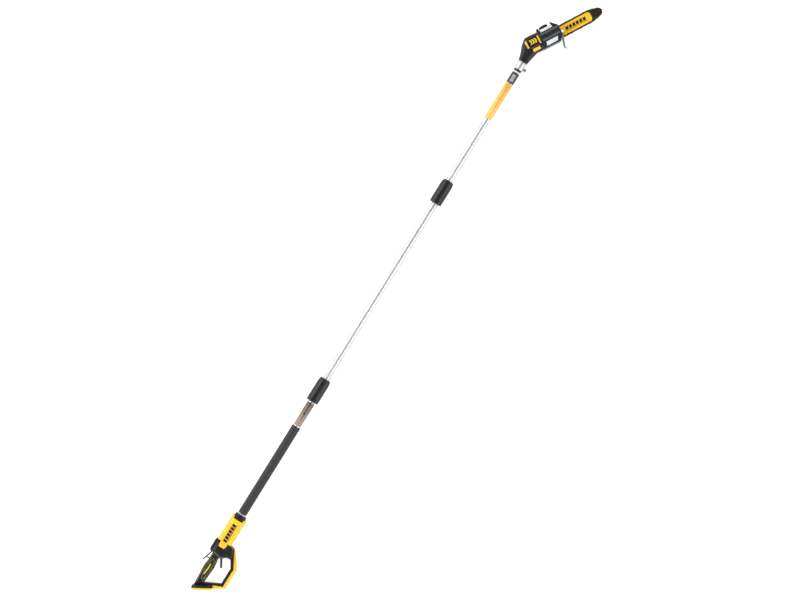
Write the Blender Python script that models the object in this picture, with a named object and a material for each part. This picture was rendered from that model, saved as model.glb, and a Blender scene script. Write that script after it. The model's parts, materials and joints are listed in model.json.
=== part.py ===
"""Pole saw in three screw-coupled sections: rear handle, middle tube and saw head.

The tool lies on its left side on the ground. +X runs along the pole towards the saw head, +Y towards the
top of the tool, and +Z is the tool's right side. Shapes are written in the tool's own frame, whose X axis is
the pole's axis and whose X = 0 is the front face of the handle's nose; the empty "tool" then puts that frame
over the ground. The saw head has a frame of its own, "head": x along the guide bar, y across it.
"""

import math

import bmesh
import bpy
from mathutils import Matrix, Vector

MM = 0.001

# ---------------------------------------------------------------- overall
BODY_HALF = 38 * MM  # half width of handle and saw head: they lie on their flat left sides
REST_FACE_X = -70 * MM  # middle of the barrel cover's flat side, which is the origin
GAP = 0.3 * MM  # between pieces that touch or sit in one another
SEAM = 0.3 * MM  # between the two halves of a clamshell

# ---------------------------------------------------------------- pole, from the nose forwards
TUBE_RADIUS = 17 * MM
TUBE_WALL = 1.5 * MM
FOAM_THICK = 3 * MM
FOAM_RADIUS = TUBE_RADIUS + FOAM_THICK
NOSE_TO_FOAM = 6 * MM
FOAM_LENGTH = 451 * MM
BARE_RING = 5 * MM
WRAP_LENGTH = 117 * MM
WRAP_THICK = 0.5 * MM
COUPLER_RADIUS = 29 * MM
COUPLER_LENGTH = 114.5 * MM
COUPLER_DOME = 26 * MM
MIDDLE_VISIBLE = 908 * MM
UPPER_VISIBLE = 575.5 * MM
CAUTION_WRAP_LENGTH = 181 * MM
RATING_WRAP_LENGTH = 70 * MM
CABLE_RADIUS = 4 * MM

# ---------------------------------------------------------------- coupling, inside the sleeve
SOCKET_WALL = 5 * MM
SOCKET_LENGTH = 52 * MM
FLANGE_LENGTH = 10 * MM
SPIGOT_LENGTH = 40 * MM
SPIGOT_WALL = 5 * MM
PLUG_TAIL = 36 * MM
CONTACT_LENGTH = 16 * MM
PIN_RADIUS = 1.5 * MM

# ---------------------------------------------------------------- handle
CORE_WALL = 12 * MM  # housing round the tube, under the barrel cover
NOSE_LENGTH = 26.7 * MM
NOSE_OUT = 3 * MM
GRIP_HALF = 17 * MM
LOOP_HALF = 14 * MM
FRONT_HALF = 35 * MM
SHELL_WALL = 3 * MM
PAD_DEPTH = 2.4 * MM
FOOT_LENGTH = 89 * MM
FOOT_TILT = math.radians(60)
RAIL_THICK = 8.7 * MM
FOOT_THICK = 10.5 * MM
FOOT_CORNER = (-387 * MM, 14 * MM)
TRIGGER_PIVOT = (-199 * MM, -21 * MM)
TRIGGER_ANGLE = math.radians(31)
TRIGGER_LENGTH = 50 * MM
TRIGGER_THICK = 8 * MM
TRIGGER_HALF = 7.5 * MM
LEVER_PIVOT = (-191 * MM, 24.5 * MM)
LEVER_ANGLE = math.radians(16)
LEVER_LENGTH = 60 * MM
LEVER_THICK = 5.5 * MM
LEVER_HALF = 6.5 * MM
POST_X = -232 * MM
POST_FOOT_Y = 12 * MM
POST_THICK = 4 * MM

# ---------------------------------------------------------------- saw head
HEAD_BEND = math.radians(30)
CLAMP_LENGTH = 38 * MM
CLAMP_WALL = 4 * MM
CLAMP_SPIGOT = 22 * MM
NECK_LENGTH = 81.5 * MM  # from the clamp to where bar axis and pole axis cross
HEAD_WALL = 2.6 * MM
SPLIT_A = 41 * MM  # motor housing ends, front section starts
CASE_THICK = 13 * MM
BAR_THICK = 4.4 * MM
BAR_HALF = 24.4 * MM
BAR_NOSE_A = 328 * MM
BAR_NOSE_RADIUS = 14.5 * MM
BAR_SHOULDER_A = 288 * MM
BAR_SLOT_HALF = 5 * MM
BAR_SLOT = (112 * MM, 153 * MM)
CHAIN_HEIGHT = 5.8 * MM
CHAIN_HALF = 3 * MM
CUTTER_COUNT = 13
SPROCKET_A = 84 * MM
SPROCKET_RADIUS = 17.6 * MM
SPROCKET_TEETH = 6
STAR_RADIUS = 13.4 * MM
STAR_TEETH = 9
STAR_HALF = 0.8 * MM
MOTOR_Z = 4 * MM
MOTOR_RADIUS = 30 * MM
MOTOR_AIR_GAP = 0.5 * MM
ROTOR_RADIUS = 16.5 * MM
MOTOR_A = (-8 * MM, 36 * MM)
PINION_TEETH = 9
GEAR_TEETH = 27
GEAR_RADIUS = 17 * MM
CAP_RADIUS = 20.5 * MM
CAP_A = 79 * MM
CAP_Z = 17 * MM
CAP_FLOOR = 46.3 * MM
CAP_TOP = 59.5 * MM
NECK_BORE = 9.5 * MM
KNOB_RADIUS = 17 * MM
STUD_A = 124 * MM
STUD_RADIUS = 4 * MM
SCREW_RADIUS = 2.2 * MM
SCREW_HEAD = 3.8 * MM

ROUND = 32  # sides of the larger turned pieces
FINE = 20  # sides of the smaller ones

# ---------------------------------------------------------------- stations along the pole
FOAM_X = NOSE_OUT + NOSE_TO_FOAM
WRAP_X = FOAM_X + FOAM_LENGTH + BARE_RING
COUPLER_1_X = WRAP_X + WRAP_LENGTH + BARE_RING + 1.5 * MM
COUPLER_2_X = COUPLER_1_X + COUPLER_LENGTH + MIDDLE_VISIBLE
CLAMP_X = COUPLER_2_X + COUPLER_LENGTH + UPPER_VISIBLE
BEND_X = CLAMP_X + CLAMP_LENGTH + NECK_LENGTH
CORE_RADIUS = TUBE_RADIUS + CORE_WALL
CORE_END = NOSE_OUT - NOSE_LENGTH - GAP
BORE = TUBE_RADIUS + GAP  # of all that fits over a tube
TUBE_BORE = TUBE_RADIUS - TUBE_WALL
PLUG_RADIUS = TUBE_BORE - GAP
SOCKET_RADIUS = BORE + SOCKET_WALL
SLEEVE_BORE = SOCKET_RADIUS + GAP


def remove_everything():
    for old in list(bpy.data.objects):
        bpy.data.objects.remove(old, do_unlink=True)


def finish_material(name, colour, roughness, metallic=0.0):
    material = bpy.data.materials.new(name)
    material.use_nodes = True
    shader = material.node_tree.nodes["Principled BSDF"]
    shader.inputs["Base Color"].default_value = (*colour, 1.0)
    shader.inputs["Roughness"].default_value = roughness
    shader.inputs["Metallic"].default_value = metallic
    return material


def empty(name, parent=None, place=(0, 0, 0), turn=0.0):
    point = bpy.data.objects.new(name, None)
    bpy.context.collection.objects.link(point)
    point.parent = parent
    point.location = place
    point.rotation_euler = (0, 0, turn)
    return point


def add(name, mesh, parent, material, smooth=30):
    """The mesh as an object with its faces turned outwards."""
    bmesh.ops.recalc_face_normals(mesh, faces=mesh.faces)
    data = bpy.data.meshes.new(name)
    mesh.to_mesh(data)
    mesh.free()
    data.shade_smooth()
    data.set_sharp_from_angle(angle=math.radians(smooth))
    piece = bpy.data.objects.new(name, data)
    bpy.context.collection.objects.link(piece)
    piece.parent = parent
    if material:
        data.materials.append(FINISH[material])
    return piece


def in_mm(points):
    return [tuple(value * MM for value in point) for point in points]


def rounded(outline, radius, steps=3):
    """The outline with each corner turned into an arc, smaller where an edge is short."""
    points = []
    count = len(outline)
    for index, corner in enumerate(outline):
        here = Vector(corner)
        before = Vector(outline[index - 1]) - here
        after = Vector(outline[(index + 1) % count]) - here
        half = before.angle(after) / 2
        reach = min(radius / math.tan(half), before.length * 0.45, after.length * 0.45)
        size = reach * math.tan(half)
        if size < 0.2 * MM or half > math.radians(86):
            points.append(tuple(here))
            continue
        middle = here + (before.normalized() + after.normalized()).normalized() * (size / math.sin(half))
        start = here + before.normalized() * reach - middle
        finish = here + after.normalized() * reach - middle
        sweep = start.angle_signed(finish)
        for step in range(steps + 1):
            spoke = start.copy()
            spoke.rotate(Matrix.Rotation(-sweep * step / steps, 2))
            points.append(tuple(middle + spoke))
    return points


def prism_mesh(outline, low, high):
    mesh = bmesh.new()
    floor = mesh.faces.new([mesh.verts.new((x, y, low)) for x, y in outline])
    lid = bmesh.ops.extrude_face_region(mesh, geom=[floor])["geom"]
    top = [item for item in lid if isinstance(item, bmesh.types.BMVert)]
    bmesh.ops.translate(mesh, verts=top, vec=(0, 0, high - low))
    return mesh


def prism(name, outline, low, high, parent, material, edge=0.0, steps=2):
    """The outline as a plate between two heights; edge rounds the rim farther from the seam plane."""
    mesh = prism_mesh(outline, low, high)
    if edge:
        outer = high if abs(high) > abs(low) else low
        rim = [side for side in mesh.edges if all(abs(end.co.z - outer) < 1e-7 for end in side.verts)]
        bmesh.ops.bevel(mesh, geom=rim, offset=edge, segments=steps, affect="EDGES", profile=0.5)
    return add(name, mesh, parent, material)


def turned(name, profile, parent, material, axis="X", place=(0, 0, 0), sides=ROUND, phase=0.37):
    """A closed profile of (along, radius) points turned round the X axis, then laid along another axis. The
    phase, in sides, keeps the corners off the planes where other shapes meet."""
    mesh = bmesh.new()
    rings = []
    for along, radius in profile:
        if radius < 1e-6:
            rings.append([mesh.verts.new((along, 0, 0))] * sides)
            continue
        ring = []
        for side in range(sides):
            angle = 2 * math.pi * (side + phase) / sides
            ring.append(mesh.verts.new((along, radius * math.cos(angle), radius * math.sin(angle))))
        rings.append(ring)
    for index, ring in enumerate(rings):
        other = rings[(index + 1) % len(rings)]
        for side in range(sides):
            corners = (ring[side], ring[(side + 1) % sides], other[(side + 1) % sides], other[side])
            corners = list(dict.fromkeys(corners))
            if len(corners) > 2:
                mesh.faces.new(corners)
    if axis == "Z":
        bmesh.ops.rotate(mesh, verts=mesh.verts, matrix=Matrix.Rotation(-math.pi / 2, 3, "Y"))
    if axis == "Y":
        bmesh.ops.rotate(mesh, verts=mesh.verts, matrix=Matrix.Rotation(math.pi / 2, 3, "Z"))
    piece = add(name, mesh, parent, material)
    piece.location = place
    return piece


def rod(name, start, end, radius, parent, material, axis="X", place=(0, 0, 0), sides=FINE):
    profile = [(start, 0), (start, radius), (end, radius), (end, 0)]
    return turned(name, profile, parent, material, axis, place, sides)


def tube(name, start, end, inner, outer, parent, material, axis="X", place=(0, 0, 0), sides=ROUND):
    profile = [(start, inner), (start, outer), (end, outer), (end, inner)]
    return turned(name, profile, parent, material, axis, place, sides)


def boolean(target, tool, operation):
    """Applies one Boolean of the tool on the target, by leaving it live on the target."""
    modifier = target.modifiers.new(tool.name, "BOOLEAN")
    modifier.operation = operation
    modifier.object = tool
    modifier.solver = "EXACT"
    tool.hide_render = True
    tool.display_type = "WIRE"


def cut(target, *tools):
    for tool in tools:
        boolean(target, tool, "DIFFERENCE")


def join(target, *tools):
    for tool in tools:
        boolean(target, tool, "UNION")


def half_shell(name, sections, side, wall, parent, material, points=9, power=2.6):
    """Half of a hollow casing. Each section is (top point, bottom point, half width) in the seam plane; its
    outline bulges to one side of that plane, and the wall is measured inwards from it."""
    mesh = bmesh.new()
    outer, inner = [], []
    for top, bottom, width in sections:
        top, bottom = Vector(top), Vector(bottom)
        middle, arm = (top + bottom) / 2, (top - bottom) / 2
        for grid, less in ((outer, 0.0), (inner, wall)):
            row = []
            for step in range(points):
                angle = math.pi * step / (points - 1)
                across = math.copysign(abs(math.cos(angle)) ** (2 / power), math.cos(angle))
                out = math.sin(angle) ** (2 / power) if 0 < step < points - 1 else 0.0
                spot = middle + arm * across * (1 - less / arm.length)
                row.append(mesh.verts.new((spot.x, spot.y, side * (SEAM / 2 + out * (width - less - SEAM / 2)))))
            grid.append(row)
    last = points - 1
    for index in range(len(sections) - 1):
        for step in range(last):
            for grid in (outer, inner):
                mesh.faces.new((grid[index][step], grid[index][step + 1],
                                grid[index + 1][step + 1], grid[index + 1][step]))
        for step in (0, last):
            mesh.faces.new((outer[index][step], outer[index + 1][step], inner[index + 1][step], inner[index][step]))
    for index in (0, -1):
        for step in range(last):
            mesh.faces.new((outer[index][step], outer[index][step + 1], inner[index][step + 1], inner[index][step]))
    return add(name, mesh, parent, material)


def support_loop(circles, grow, count):
    """The rounded outline that a tight belt makes round the circles (x, y, radius), each grown."""
    loop = []
    for index in range(count):
        angle = 2 * math.pi * (index + 0.5) / count
        way = Vector((math.cos(angle), math.sin(angle)))
        x, y, radius = max(circles, key=lambda ring: ring[0] * way.x + ring[1] * way.y + ring[2])
        loop.append((x + (radius + grow) * way.x, y + (radius + grow) * way.y))
    return loop


def coil(name, radius, wire, start, end, turns, parent, material, place, steps=12, sides=5):
    """A wound spring along Z."""
    mesh = bmesh.new()
    rings = []
    count = int(turns * steps)
    for index in range(count + 1):
        angle = 2 * math.pi * index / steps
        middle = Vector((radius * math.cos(angle), radius * math.sin(angle), start + (end - start) * index / count))
        out = Vector((math.cos(angle), math.sin(angle), 0))
        ring = []
        for side in range(sides):
            turn = 2 * math.pi * side / sides
            ring.append(mesh.verts.new(middle + wire * (out * math.cos(turn) + Vector((0, 0, math.sin(turn))))))
        rings.append(ring)
    for ring, other in zip(rings, rings[1:]):
        for side in range(sides):
            mesh.faces.new((ring[side], ring[(side + 1) % sides], other[(side + 1) % sides], other[side]))
    mesh.faces.new(rings[0])
    mesh.faces.new(rings[-1])
    piece = add(name, mesh, parent, material)
    piece.location = place
    return piece


def toothed(name, teeth, root, tip, low, high, parent, material, place=(0, 0, 0), share=0.42):
    """A flat wheel with plain tapered teeth, its axis along Z."""
    outline = []
    for tooth in range(teeth):
        for part, radius in ((-0.5, root), (-share / 2, tip), (share / 2, tip), (0.5 - 0.1, root)):
            angle = 2 * math.pi * (tooth + part * 0.8) / teeth
            outline.append((radius * math.cos(angle), radius * math.sin(angle)))
    piece = prism(name, outline, low, high, parent, material)
    piece.location = place
    return piece


# ---------------------------------------------------------------- handle
def along_foot(distance, depth):
    """A point of the battery foot: distance down its face, depth inwards from the face."""
    down = Vector((math.cos(FOOT_TILT), -math.sin(FOOT_TILT)))
    inwards = Vector((math.sin(FOOT_TILT), math.cos(FOOT_TILT)))
    return tuple(Vector(FOOT_CORNER) + down * distance + inwards * depth)


OPENING = in_mm([(-333, -16), (-299, -83), (-222, -83), (-189, -63), (-192, -38), (-208, -15), (-258, -21.5)])
FOOT_DEPTH = RAIL_THICK + FOOT_THICK + 2 * GAP
GRIP = [along_foot(30 * MM, FOOT_DEPTH + 0.4 * MM), along_foot(8 * MM, FOOT_DEPTH + 0.4 * MM)] + in_mm(
    [(-345, 19), (-301, 22), (-270, 25), (-240, 21), (-192, 20.5), (-192, -14.5), (-212, -14.5), (-258, -21.5),
     (-333, -16)])
FRONT = in_mm([(-197, 18), (-197, 33), (-189, 40.5), (-137, 41), (-137, 21.6), (-162.3, 17.4), (-162.3, -17.4),
               (-139, -21.6), (-139, -47), (-156, -57), (-184, -64), (-190, -40), (-205, -27), (-208, -15)])


def foot_outline(start, thick, length):
    return [along_foot(0, start), along_foot(length, start),
            along_foot(length, start + thick), along_foot(0, start + thick)]


def loop_outline():
    """The D loop with its rear arm, which starts behind the foot, and its front strut."""
    outside = [along_foot(9 * MM, FOOT_DEPTH), along_foot(FOOT_LENGTH, FOOT_DEPTH)]
    outside += in_mm([(-306, -97), (-218, -97), (-142, -52), (-142, -25), (-192, -10)])
    return outside + OPENING[4:0:-1] + [OPENING[0]] + in_mm([(-345, -5)])


def guard_outline():
    """The bumper outside the D loop: the loop's outer line, and the same line a guard's thickness farther out."""
    inner = [along_foot(FOOT_LENGTH + 1 * MM, FOOT_DEPTH - GAP)] + in_mm([(-306.2, -97.3), (-217.9, -97.3), (-142, -52.3)])
    outer = in_mm([(-128, -49), (-212, -111), (-308, -111)]) + [along_foot(FOOT_LENGTH + 1 * MM, 4 * MM)]
    return inner + in_mm([(-138.5, -52.3)]) + outer


def housing_half(name, side):
    """One half of the black clamshell: grip, D loop, front block and the core round the tube."""
    near, far = side * SEAM / 2, side
    half = prism(name, rounded(FRONT, 5 * MM, 2), near, far * FRONT_HALF, TOOL, "black_plastic", 5 * MM)
    grip = prism(f"{name}_grip", GRIP, near, far * GRIP_HALF, TOOL, None, 6 * MM, 3)
    loop = prism(f"{name}_loop", loop_outline(), near, far * LOOP_HALF, TOOL, None, 3 * MM)
    core = turned(f"{name}_core", [(-163 * MM, 0), (-163 * MM, CORE_RADIUS), (CORE_END, CORE_RADIUS), (CORE_END, 0)],
                  TOOL, None)
    other = prism(f"{name}_other_side", in_mm([(-420, -150), (60, -150), (60, 80), (-420, 80)]),
                  near, -far * 60 * MM, TOOL, None)
    pocket_front = prism(f"{name}_front_pocket", in_mm([(-186, -36), (-186, 16), (-179, 36), (-142, 36), (-142, -36)]),
                         -far * 1 * MM, far * (FRONT_HALF - SHELL_WALL - 10 * MM), TOOL, None)
    pocket_grip = prism(f"{name}_grip_pocket", in_mm([(-330, -9), (-330, 13), (-270, 17), (-240, 10), (-180, 10),
                                                      (-180, -9)]),
                        -far * 1 * MM, far * (GRIP_HALF - SHELL_WALL - PAD_DEPTH), TOOL, None)
    bore = rod(f"{name}_tube_bore", -143 * MM, 20 * MM, BORE, TOOL, None, sides=ROUND)
    slot_trigger = prism(f"{name}_trigger_slot", in_mm([(-240, -40), (-191, -40), (-186, -8), (-213, -8), (-240, -12)]),
                         -far * 1 * MM, far * (TRIGGER_HALF + 2.5 * MM), TOOL, None)
    slot_lever = prism(f"{name}_lever_slot", in_mm([(-222, 16), (-222, 60), (-196, 36), (-184, 33), (-184, 16)]),
                       -far * 1 * MM, far * (LEVER_HALF + 2.5 * MM), TOOL, None)
    slot_post = prism(f"{name}_post_slot", [(POST_X - 6 * MM, 5 * MM), (POST_X + 7 * MM, 5 * MM),
                                            (POST_X + 7 * MM, 40 * MM), (POST_X - 6 * MM, 40 * MM)],
                      -far * 1 * MM, far * (LEVER_HALF - 2.5 * MM), TOOL, None)
    pad = prism(f"{name}_pad_seat", PAD_SEAT, far * (GRIP_HALF - PAD_DEPTH), far * (GRIP_HALF + 5 * MM), TOOL, None)
    join(half, grip, loop, core)
    cut(half, other, pocket_front, pocket_grip, bore, slot_trigger, slot_lever, slot_post, pad)
    for index, (x, y, radius, length) in enumerate(PIN_HOLES):
        hole = rod(f"{name}_pin_hole_{index}", -length, length, radius, TOOL, None, "Z", (x, y, 0), 12)
        cut(half, hole)
    for index, (x, y) in enumerate(HOUSING_SCREWS):
        cut(half, rod(f"{name}_screw_hole_{index}", -20 * MM, 9 * MM, SCREW_RADIUS + GAP, TOOL, None, "Z", (x, y, 0), 12))
        if side < 0:
            cut(half, rod(f"{name}_screw_head_{index}", -20 * MM, -9 * MM, SCREW_HEAD + GAP, TOOL, None, "Z",
                          (x, y, 0), 12))
    return half


PAD_SEAT = in_mm([(-330, -9), (-330, 9), (-270, 16), (-228, 11), (-212, 8), (-212, -7), (-258, -13)])
PIN_LENGTH = 13 * MM
COVER_X, BAND_X, COVER_END = -136 * MM, -161 * MM, -9 * MM  # the cover's rear edge, its side band's, its front
TRIGGER_PIN_RADIUS = 2 * MM
LEVER_PIN_RADIUS = 1.6 * MM
PIN_HOLES = [(*TRIGGER_PIVOT, TRIGGER_PIN_RADIUS + GAP, PIN_LENGTH + GAP),
             (*LEVER_PIVOT, LEVER_PIN_RADIUS + GAP, PIN_LENGTH + GAP)]
HOUSING_SCREWS = in_mm([(-296, -90.5)])


def inset_outline(outline, distance):
    """A convex outline moved inwards."""
    middle = sum((Vector(point) for point in outline), Vector((0, 0))) / len(outline)
    return [tuple(middle + (Vector(point) - middle) * (1 - distance / (Vector(point) - middle).length))
            for point in outline]


def grip_pad(name, side):
    return prism(name, inset_outline(PAD_SEAT, 0.8 * MM), side * (GRIP_HALF - PAD_DEPTH + GAP),
                 side * (GRIP_HALF + 1 * MM), TOOL, "grip_rubber", 0.8 * MM)


def barrel_cover(name, side):
    """Half of the yellow cover: an eight-sided barrel whose top and bottom edges are waved."""
    waves, steps = 4, 16
    rows = []
    inner = (CORE_RADIUS + GAP) / math.cos(math.pi / 18)
    for step in range(steps + 1):
        share = step / steps
        swell = 37 * MM + 1.8 * MM * math.cos(2 * math.pi * waves * share)
        if step == steps:
            swell = 33 * MM
        rows.append((share, swell))
    mesh = bmesh.new()
    outer, lining = [], []
    for share, swell in rows:
        upper = [(swell, SEAM / 2), (swell, 15 * MM), (0.8 * swell, 28 * MM), (20 * MM, BODY_HALF), (16 * MM, BODY_HALF)]
        corners = upper + [(-y, z) for y, z in reversed(upper)]
        last = len(corners) - 1
        narrow = 5 * MM if share == 1 else 0.0
        rings = [], []
        for step, (y, z) in enumerate(corners):
            back = BAND_X if step in (last // 2, last // 2 + 1) else COVER_X
            x = back + (COVER_END - back) * share
            angle = math.pi * step / last
            rings[0].append(mesh.verts.new((x, y, side * max(z - narrow, SEAM / 2))))
            rings[1].append(mesh.verts.new((x, inner * math.cos(angle), side * (SEAM / 2 + inner * math.sin(angle)))))
        outer.append(rings[0])
        lining.append(rings[1])
    for index in range(len(rows) - 1):
        for step in range(last):
            for grid in (outer, lining):
                mesh.faces.new((grid[index][step], grid[index][step + 1],
                                grid[index + 1][step + 1], grid[index + 1][step]))
        for step in (0, last):
            mesh.faces.new((outer[index][step], outer[index + 1][step],
                            lining[index + 1][step], lining[index][step]))
    for index in (0, -1):
        for step in range(last):
            mesh.faces.new((outer[index][step], outer[index][step + 1],
                            lining[index][step + 1], lining[index][step]))
    return add(name, mesh, TOOL, "yellow_plastic", 20)


def nose_collar():
    flat = CORE_RADIUS - 2.2 * MM
    corner = flat / math.cos(math.pi / 8)
    start, end = NOSE_OUT - NOSE_LENGTH, NOSE_OUT
    profile = [(start, 0), (start, corner), (end - 5 * MM, corner), (end, corner - 5 * MM), (end, 0)]
    collar = turned("nose_collar", profile, TOOL, "black_plastic", sides=8, phase=0.5)
    cut(collar, rod("nose_collar_bore", start - 5 * MM, end + 5 * MM, BORE, TOOL, None, sides=ROUND))
    return collar


def battery_foot():
    length = FOOT_LENGTH
    prism("battery_foot", foot_outline(RAIL_THICK + GAP, FOOT_THICK, length), -BODY_HALF + 1 * MM,
          BODY_HALF - 1 * MM, TOOL, "black_plastic")
    plate = prism("rail_plate", foot_outline(0, RAIL_THICK, length), -BODY_HALF, BODY_HALF, TOOL, "yellow_plastic")
    bay = prism("terminal_bay", [along_foot(12 * MM, -5 * MM), along_foot(length - 14 * MM, -5 * MM),
                                 along_foot(length - 14 * MM, RAIL_THICK + 5 * MM),
                                 along_foot(12 * MM, RAIL_THICK + 5 * MM)], -24 * MM, 24 * MM, TOOL, None)
    cut(plate, bay)
    block = prism("terminal_block", [along_foot(20 * MM, 1 * MM), along_foot(55 * MM, 1 * MM),
                                     along_foot(55 * MM, RAIL_THICK), along_foot(20 * MM, RAIL_THICK)],
                  -20 * MM, 20 * MM, TOOL, "grey_plastic")
    for index in range(4):
        middle = (index - 1.5) * 9 * MM
        slot = prism(f"terminal_slot_{index}", [along_foot(30 * MM, -1 * MM), along_foot(70 * MM, -1 * MM),
                                                along_foot(70 * MM, 5 * MM), along_foot(30 * MM, 5 * MM)],
                     middle - 1.5 * MM, middle + 1.5 * MM, TOOL, None)
        cut(block, slot)


def trigger():
    pivot = empty("trigger_axis", TOOL, (*TRIGGER_PIVOT, 0))
    half = TRIGGER_THICK / 2
    blade = prism("trigger", rounded([(-TRIGGER_LENGTH, -half), (2 * MM, -half), (2 * MM, half),
                                      (-TRIGGER_LENGTH, half)], 2.5 * MM), -TRIGGER_HALF, TRIGGER_HALF, pivot,
                  "trigger_plastic")
    blade.rotation_euler = (0, 0, TRIGGER_ANGLE)
    hub = rod("trigger_hub", -6 * MM, 6 * MM, 5.5 * MM, pivot, None, "Z")
    join(blade, hub)
    cut(blade, rod("trigger_bore", -20 * MM, 20 * MM, TRIGGER_PIN_RADIUS + GAP, pivot, None, "Z", sides=12))
    cut(blade, tube("trigger_spring_seat", 5.6 * MM, 20 * MM, 1 * MM, 7 * MM, pivot, None, "Z"))
    rod("trigger_pin", -PIN_LENGTH, PIN_LENGTH, TRIGGER_PIN_RADIUS, TOOL, "bare_steel", "Z", (*TRIGGER_PIVOT, 0), 12)
    coil("trigger_spring", 3.6 * MM, 0.5 * MM, 6.6 * MM, 9.2 * MM, 2.5, TOOL, "bare_steel", (*TRIGGER_PIVOT, 0))


def lock_off_lever():
    pivot = empty("lock_off_axis", TOOL, (*LEVER_PIVOT, 0))
    half = LEVER_THICK / 2
    sink = LEVER_PIVOT[1]
    tip = (-LEVER_LENGTH * math.cos(LEVER_ANGLE), LEVER_LENGTH * math.sin(LEVER_ANGLE))
    paddle = [(2 * MM, -half), (2 * MM, half), (-14 * MM, 3 * MM + half), (tip[0], tip[1] + half),
              (tip[0] - 3 * MM, tip[1]), (tip[0], tip[1] - half), (-14 * MM, 3 * MM - half)]
    lever = prism("lock_off_lever", paddle, -LEVER_HALF, LEVER_HALF, pivot, "trigger_plastic", 1 * MM)
    hub = rod("lock_off_hub", -5 * MM, 5 * MM, 4.6 * MM, pivot, None, "Z")
    x = POST_X - LEVER_PIVOT[0]
    post = prism("lock_off_post", [(x - POST_THICK / 2, POST_FOOT_Y - sink), (x + POST_THICK / 2, POST_FOOT_Y - sink),
                                   (x + POST_THICK / 2, 10 * MM), (x - POST_THICK / 2, 10 * MM)],
                 -2.5 * MM, 2.5 * MM, pivot, None)
    join(lever, hub, post)
    cut(lever, rod("lock_off_bore", -20 * MM, 20 * MM, LEVER_PIN_RADIUS + GAP, pivot, None, "Z", sides=12))
    cut(lever, tube("lock_off_spring_seat", 4.6 * MM, 20 * MM, 1 * MM, 6 * MM, pivot, None, "Z"))
    rod("lock_off_pin", -PIN_LENGTH, PIN_LENGTH, LEVER_PIN_RADIUS, TOOL, "bare_steel", "Z", (*LEVER_PIVOT, 0), 12)
    coil("lock_off_spring", 3 * MM, 0.4 * MM, 5.6 * MM, 8 * MM, 2.5, TOOL, "bare_steel", (*LEVER_PIVOT, 0))


def handle():
    housing_half("housing_right", 1)
    housing_half("housing_left", -1)
    grip_pad("grip_pad_right", 1)
    grip_pad("grip_pad_left", -1)
    barrel_cover("barrel_cover_right", 1)
    barrel_cover("barrel_cover_left", -1)
    prism("loop_guard", guard_outline(), -LOOP_HALF - 2 * MM, LOOP_HALF + 2 * MM, TOOL, "yellow_plastic")
    nose_collar()
    battery_foot()
    trigger()
    lock_off_lever()
    prism("switch_module", in_mm([(-236, -6), (-236, 4), (-206, 4), (-206, -6)]), -8 * MM, 8 * MM, TOOL, "grey_plastic")
    prism("control_board", in_mm([(-176, -30), (-176, 15), (-174.4, 15), (-174.4, -30)]), -20 * MM, 20 * MM, TOOL,
          "circuit_board")
    for x, y in HOUSING_SCREWS:
        screw("housing_screw", (x, y, 0), -9.3 * MM, 8 * MM, TOOL)


def screw(name, place, head_z, tip_z, parent):
    """A pan-head screw along Z whose head is on the left."""
    profile = [(head_z - 2.4 * MM, 0), (head_z - 2.4 * MM, SCREW_HEAD * 0.7), (head_z - 1 * MM, SCREW_HEAD),
               (head_z, SCREW_HEAD), (head_z, SCREW_RADIUS), (tip_z, SCREW_RADIUS), (tip_z, 0)]
    return turned(name, profile, parent, "bare_steel", "Z", place, 12)


# ---------------------------------------------------------------- pole and couplings
def coupling(index, x, lower, upper, sleeve):
    """Socket on the lower tube, plug on the upper one, their contacts, and the screw sleeve round both."""
    face = x + 10 * MM + SOCKET_LENGTH  # where socket and flange meet
    lower_end = face - FLANGE_LENGTH
    turned(f"socket_{index}", [(face - SOCKET_LENGTH, BORE), (face - SOCKET_LENGTH, SOCKET_RADIUS),
                               (face, SOCKET_RADIUS), (face, PLUG_RADIUS + GAP),
                               (lower_end + GAP, PLUG_RADIUS + GAP), (lower_end + GAP, BORE)],
           lower, "black_plastic")
    flange = face + GAP
    back = flange + FLANGE_LENGTH
    bore = PLUG_RADIUS - SPIGOT_WALL
    plug = turned(f"plug_{index}", [(flange - SPIGOT_LENGTH, bore), (flange - SPIGOT_LENGTH, PLUG_RADIUS),
                             (flange, PLUG_RADIUS), (flange, SOCKET_RADIUS - GAP), (back, SOCKET_RADIUS - GAP),
                             (back, PLUG_RADIUS), (back + PLUG_TAIL, PLUG_RADIUS), (back + PLUG_TAIL, bore)],
           upper, "black_plastic")
    block_end = flange - SPIGOT_LENGTH - 2 * MM
    block = rod(f"contact_block_{index}", block_end - CONTACT_LENGTH, block_end, TUBE_BORE - GAP, lower, "grey_plastic",
                sides=FINE)
    carrier = rod(f"pin_carrier_{index}", block_end + 2.5 * MM, block_end + 12 * MM, bore + 1 * MM, upper, None)
    join(plug, carrier)
    for way in (-1, 1):
        hole = rod(f"contact_hole_{index}_{way}", block_end - 12 * MM, block_end + 5 * MM, PIN_RADIUS + 2 * GAP, lower,
                   None, place=(0, way * 4 * MM, 0), sides=8)
        cut(block, hole)
        pin = rod(f"contact_pin_{index}_{way}", block_end - 9 * MM, block_end + 6 * MM, PIN_RADIUS, upper, None,
                  place=(0, way * 4 * MM, 0), sides=8)
        join(plug, pin)
    shoulder = back + GAP
    end = x + COUPLER_LENGTH
    dome = [(end - COUPLER_DOME + COUPLER_DOME * math.sin(step * math.pi / 8),
             BORE + 4 * MM + (COUPLER_RADIUS - BORE - 4 * MM) * math.cos(step * math.pi / 8)) for step in range(5)]
    turned(f"coupler_sleeve_{index}", [(x, SLEEVE_BORE), (x, COUPLER_RADIUS - 1.5 * MM),
                                       (x + 1.5 * MM, COUPLER_RADIUS)] + dome +
           [(end, BORE), (shoulder, BORE), (shoulder, SLEEVE_BORE)], sleeve, "sleeve_rubber", sides=40)
    return back + GAP, lower_end, block_end - CONTACT_LENGTH, block_end + 12 * MM


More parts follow.
